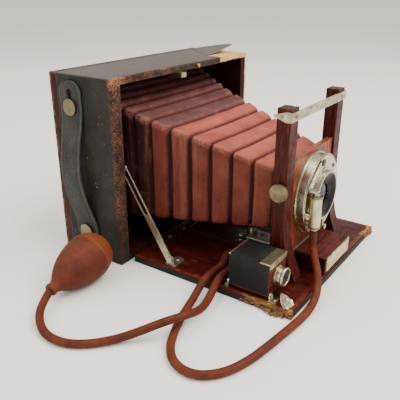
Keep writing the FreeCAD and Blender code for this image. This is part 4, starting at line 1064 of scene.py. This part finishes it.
flap = add("leather_flap", fv, ff, FLAP)
float_attr(flap, "tear", ft)
if sum(p.normal.z for p in flap.data.polygons) < 0:
    flap.data.flip_normals()
solidify(flap, 0.6 * MM, -1.0)
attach(flap, "case")

# splinters and torn leather along the front left edge of the bed, and the chip at the right front corner
sv, sf = [], []


def sliver(p0, p1, p2, th):
    """A thin wedge: base p0-p1 on the edge, point p2."""
    b = len(sv)
    for p in (p0, p1, p2):
        sv.append(Vector(p) * MM)
        sv.append(Vector((p[0], p[1], p[2] + th)) * MM)
    sf.extend([(b, b + 4, b + 2), (b + 1, b + 3, b + 5), (b, b + 2, b + 3, b + 1), (b + 2, b + 4, b + 5, b + 3), (b + 4, b, b + 1, b + 5)])


y = -168.0
k = 0
while y > -218.0:
    w = 2.2 + 2.6 * abs(nz(y, 1, 1, 0.31))
    reach = 1.2 + 5.2 * math.exp(-((y + 201.0) / 9.0) ** 2) + 2.4 * abs(nz(y, 5, 2, 0.45))
    z = 0.4 + 3.6 * abs(nz(y, 2, 8, 0.27)) + 0.6 * (k % 3)
    sliver((-102.6, y, z), (-102.6, y - w, z), (-102.8 - reach, y - w * (0.4 + nz(y, 3, 3, 0.7)), max(0.25, z - 0.5 * reach * 0.5)), 0.7 + 0.5 * (k % 2))
    y -= w * 0.62
    k += 1
x = 76.0
while x < 102.0:
    w = 2.4 + 2.2 * abs(nz(x, 1, 1, 0.31))
    reach = 0.9 + 2.4 * abs(nz(x, 5, 2, 0.45)) + 1.6 * math.exp(-((x - 92) / 6) ** 2)
    z = 1.0 + 3.6 * abs(nz(x, 2, 8, 0.27))
    sliver((x + w, -218.6, z), (x, -218.6, z), (x + w * 0.5, -218.8 - reach, max(0.3, z - 0.4)), 0.8)
    x += w * 0.7
splinters = add("bed_edge_splinters", sv, sf, BARE, None, False)
outward(splinters)
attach(splinters, "case")


# ------------------------------------------------------------------ crumpled nickel plate at the foot of the finder
pv, pf = [], []
NU, NV = 18, 12
for i in range(NU + 1):
    u = i / NU
    half = 7.4 * math.sin(math.pi * min(1.0, 0.16 + u * 0.84)) ** 0.75 + 0.6
    for j in range(NV + 1):
        v = j / NV * 2 - 1
        # rises from a foot screwed to the bed's corner up to the finder's pivot
        px = -97.2 + v * half * 0.92 + 2.0 * (1 - u)
        py = -215.4 + 10.0 * u
        pz = 7.3 + 8.6 * u ** 1.5 + 1.5 * math.sin(3.3 * v + 4.2 * u) * u * 0.6 + 0.8 * nz(px, py, 3.0, 0.35) + 1.2 * abs(v) * (0.4 + 0.6 * u)
        pv.append(Vector((px, py, max(7.2, pz))) * MM)
for i in range(NU):
    for j in range(NV):
        a = i * (NV + 1) + j
        pf.append((a, a + 1, a + NV + 2, a + NV + 1))
plate = add("finder_foot_plate", pv, pf, BRACE)
if sum(p.normal.z for p in plate.data.polygons) < 0:
    plate.data.flip_normals()
solidify(plate, 0.5 * MM, -1.0)
for p in plate.data.polygons:
    p.use_smooth = False
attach(plate, "case")

# ------------------------------------------------------------------ carrying strap
mid = [(-118.4, 178.4), (-118.3, 166.0), (-118.4, 150.0), (-121.5, 134.0), (-126.5, 116.0), (-129.6, 96.0),
       (-129.6, 84.0), (-127.0, 66.0), (-122.3, 50.0), (-118.6, 36.0), (-118.3, 26.0), (-118.4, 16.6)]
line = catmull(mid, 14)
TH = 1.1
cs = [(-1.0, 0.35), (-0.985, 0.8), (-0.94, 1.0), (-0.86, 0.96), (-0.80, 0.62), (-0.74, 0.95), (-0.45, 1.06), (0.0, 1.12), (0.45, 1.06), (0.74, 0.95), (0.80, 0.62), (0.86, 0.96), (0.94, 1.0), (0.985, 0.8), (1.0, 0.35)]
cs += [(1.0, -0.35), (0.97, -0.85), (0.9, -1.0), (0.3, -1.0), (-0.3, -1.0), (-0.9, -1.0), (-0.97, -0.85), (-1.0, -0.35)]
vv, vf, vr = [], [], []
for i, (x, z) in enumerate(line):
    x0, z0 = line[max(i - 1, 0)]
    x1, z1 = line[min(i + 1, len(line) - 1)]
    L = math.hypot(x1 - x0, z1 - z0)
    nx, nzv = -(z0 - z1) / L, (x0 - x1) / L      # to the left of the downward line
    if nx > 0:
        nx, nzv = -nx, -nzv
    hw = 14.5 - 2.2 * math.sin(math.pi * max(0.0, min(1.0, (z - 29.0) / 137.0)))
    if z > 166.0:
        hw = 14.5 * math.sqrt(max(0.0, 1 - ((z - 166.0) / 12.6) ** 2))
    if z < 29.0:
        hw = 14.5 * math.sqrt(max(0.0, 1 - ((29.0 - z) / 12.6) ** 2))
    hw = max(hw, 1.2)
    for a, h in cs:
        yy = 12.0 + a * hw
        wv = 0.25 * nz(x, yy, z, 0.09)
        vv.append(Vector((x + nx * h * TH - abs(wv) * 0.6, yy + 0.5 * nz(1, 2, z, 0.03) * 1.5, z + nzv * h * TH)) * MM)
        vr.append(1.0 if abs(a) > 0.84 else 0.0)
n = len(cs)
for i in range(len(line) - 1):
    for k in range(n):
        l = (k + 1) % n
        vf.append((i * n + k, i * n + l, (i + 1) * n + l, (i + 1) * n + k))
vf.append(tuple(range(n)))
vf.append(tuple((len(line) - 1) * n + k for k in reversed(range(n))))
strap = add("carrying_strap", vv, vf, STRAP)
float_attr(strap, "rim", vr)
outward(strap)


def prism(name, outline, x0, x1):
    k = len(outline)
    v = [Vector((x0, a, b)) * MM for a, b in outline] + [Vector((x1, a, b)) * MM for a, b in outline]
    f = [tuple(range(k)), tuple(reversed(range(k, 2 * k)))] + [(i, (i + 1) % k, (i + 1) % k + k, i + k) for i in range(k)]
    return outward(add(name, v, f, STRAP, None, False))


key = []
for k in range(13):     # round top of the keyhole, its slot, and the stud's round end
    a = math.radians(-40 + 260 * k / 12)
    key.append((12 + 3.6 * math.cos(a), 167.5 + 3.6 * math.sin(a)))
key += [(9.6, 162.0), (9.6, 156.0)]
for k in range(9):
    a = math.radians(180 + 180 * k / 8)
    key.append((12 + 2.6 * math.cos(a), 154.0 + 2.6 * math.sin(a)))
key += [(14.4, 156.0), (14.4, 162.0)]
cutters = [prism("cut_key", key, -126, -112), prism("cut_low", [(12 + 2.5 * math.cos(math.radians(20 * k)), 27.5 + 2.5 * math.sin(math.radians(20 * k))) for k in range(18)], -126, -112)]
for c in cutters:
    b = strap.modifiers.new("cut", "BOOLEAN")
    b.operation, b.object, b.solver = "DIFFERENCE", c, "EXACT"
apply_mods(strap)
for c in cutters:
    bpy.data.objects.remove(c)
turn = Matrix.Rotation(math.radians(-3.5), 3, "X")
pin = Vector((0, 0.0105, 0.154))
for v in strap.data.vertices:
    q = v.co + Vector((0, -0.0015, 0)) - pin
    v.co = turn @ q + pin
for p in strap.data.polygons:
    p.use_smooth = True
bm = bmesh.new()
bm.from_mesh(strap.data)
for e in bm.edges:
    if len(e.link_faces) == 2 and e.calc_face_angle(0) > math.radians(42):
        e.smooth = False
bm.to_mesh(strap.data)
bm.free()
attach(strap, "case")
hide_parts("strap")

# ------------------------------------------------------------------ leaf springs at the back, in left and right halves that curve back and taper towards their outer ends
for z0, z1, tag in ((26.0, 34.0, "lower"), (159.5, 167.5, "upper")):
    for sgn, side in ((-1, "left"), (1, "right")):
        v, f = [], []
        N = 40
        for i in range(N + 1):
            x = 108.0 * i / N
            yb = 39.2 + 2.0 * (x / 108.0) ** 2
            taper = 1.0 - 0.25 * smooth(80, 108, x)
            zc, zh = (z0 + z1) / 2, (z1 - z0) / 2 * taper
            for yy, zz in ((yb, zc - zh), (yb, zc - zh * 0.3), (yb, zc + zh * 0.3), (yb, zc + zh), (yb + 0.6, zc + zh), (yb + 0.66, zc + zh * 0.3), (yb + 0.66, zc - zh * 0.3), (yb + 0.6, zc - zh)):
                v.append(Vector((sgn * x, yy, zz)) * MM)
        for i in range(N):
            for k in range(8):
                l = (k + 1) % 8
                f.append((i * 8 + k, i * 8 + l, (i + 1) * 8 + l, (i + 1) * 8 + k))
        f.append(tuple(range(8)))
        f.append(tuple(N * 8 + k for k in reversed(range(8))))
        s = add("leaf_spring_%s_%s" % (tag, side), v, f, STEEL, None, False)
        outward(s)
        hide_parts("leaf_springs")
        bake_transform(s)

# ------------------------------------------------------------------ small turned and milled details
knurl("knob_milled_rim", (-0.0644, -0.1805, 0.0926), (1, 0, 0), 0.0083, 0.00035, 0.0036, 44, KNOB, "clamp_screw", inner=0.0070)
knurl("nozzle_milled_collar", (-0.0296, -0.2024, 0.0504), (0, 0, 1), 0.00385, 0.0003, 0.0016, 22, NICKEL, "lens_panel", inner=0.0030)
revolve("finder_tube_rim", [(-0.0002, 0.0066), (-0.0007, 0.0071), (-0.0008, 0.0082), (-0.0003, 0.0089), (0.0008, 0.0090), (0.0016, 0.0085), (0.0022, 0.0081), (0.0022, 0.0070)],
        (-0.0824, -0.2018, 0.0254), (0, 1, 0), FACE, "finder", 48, closed=True)
revolve("shutter_rim_bead", [(0.0, 0.0381), (-0.0003, 0.0387), (0.0002, 0.0392), (0.0009, 0.0392), (0.0013, 0.0387), (0.0012, 0.0381)],
        (0.0, -0.1946, 0.075), (0, 1, 0), FACE, "lens_panel", 96, closed=True)
revolve("bezel_inner_ring", [(0.0, 0.0106), (-0.0006, 0.0108), (-0.0006, 0.0116), (0.0, 0.0122), (0.0008, 0.0122), (0.0008, 0.0106)],
        (0.0, -0.1962, 0.075), (0, 1, 0), BEZEL, "lens_panel", 64, closed=True)


# ------------------------------------------------------------------ floor and light
floor = bpy.data.meshes.new("floor")
floor.from_pydata([(-16, -16, 0), (16, -16, 0), (16, 16, 0), (-16, 16, 0)], [], [(0, 1, 2, 3)])
fo = bpy.data.objects.new("floor", floor)
fo.location.z = -0.0001
scene.collection.objects.link(fo)
fm = Mat("floor", 0.85, Specular_IOR_Level=0.2)
fo.data.materials.append(fm.finish(fm.mix(fm.noise(0.8, 2), srgb(243, 240, 231), srgb(246, 243, 236)), None, None, bevel=0.0))
fo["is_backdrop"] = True

world = bpy.data.worlds.new("World")
scene.world = world
world.use_nodes = True
bg = world.node_tree.nodes["Background"]
bg.inputs[0].default_value = (1.0, 0.985, 0.96, 1)
bg.inputs[1].default_value = 1.02


def area(name, loc, target, size, energy, color=(1, 1, 1)):
    d = bpy.data.lights.new(name, "AREA")
    d.shape = "RECTANGLE"
    d.size, d.size_y = size
    d.energy = energy
    d.color = color
    o = bpy.data.objects.new(name, d)
    scene.collection.objects.link(o)
    o.location = loc
    o.rotation_mode = "QUATERNION"
    o.rotation_quaternion = (Vector(target) - Vector(loc)).to_track_quat("-Z", "Y")
    return o


area("key", (0.25, -0.9, 1.35), (-0.05, -0.1, 0.05), (1.3, 1.0), 29, (1.0, 0.97, 0.93))
area("fill", (-1.5, 0.1, 0.9), (-0.05, -0.1, 0.08), (1.2, 1.2), 7, (1.0, 0.985, 0.97))
area("top", (-0.1, 0.5, 1.7), (-0.05, -0.05, 0.1), (1.6, 1.2), 14, (1.0, 0.98, 0.96))

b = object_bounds()
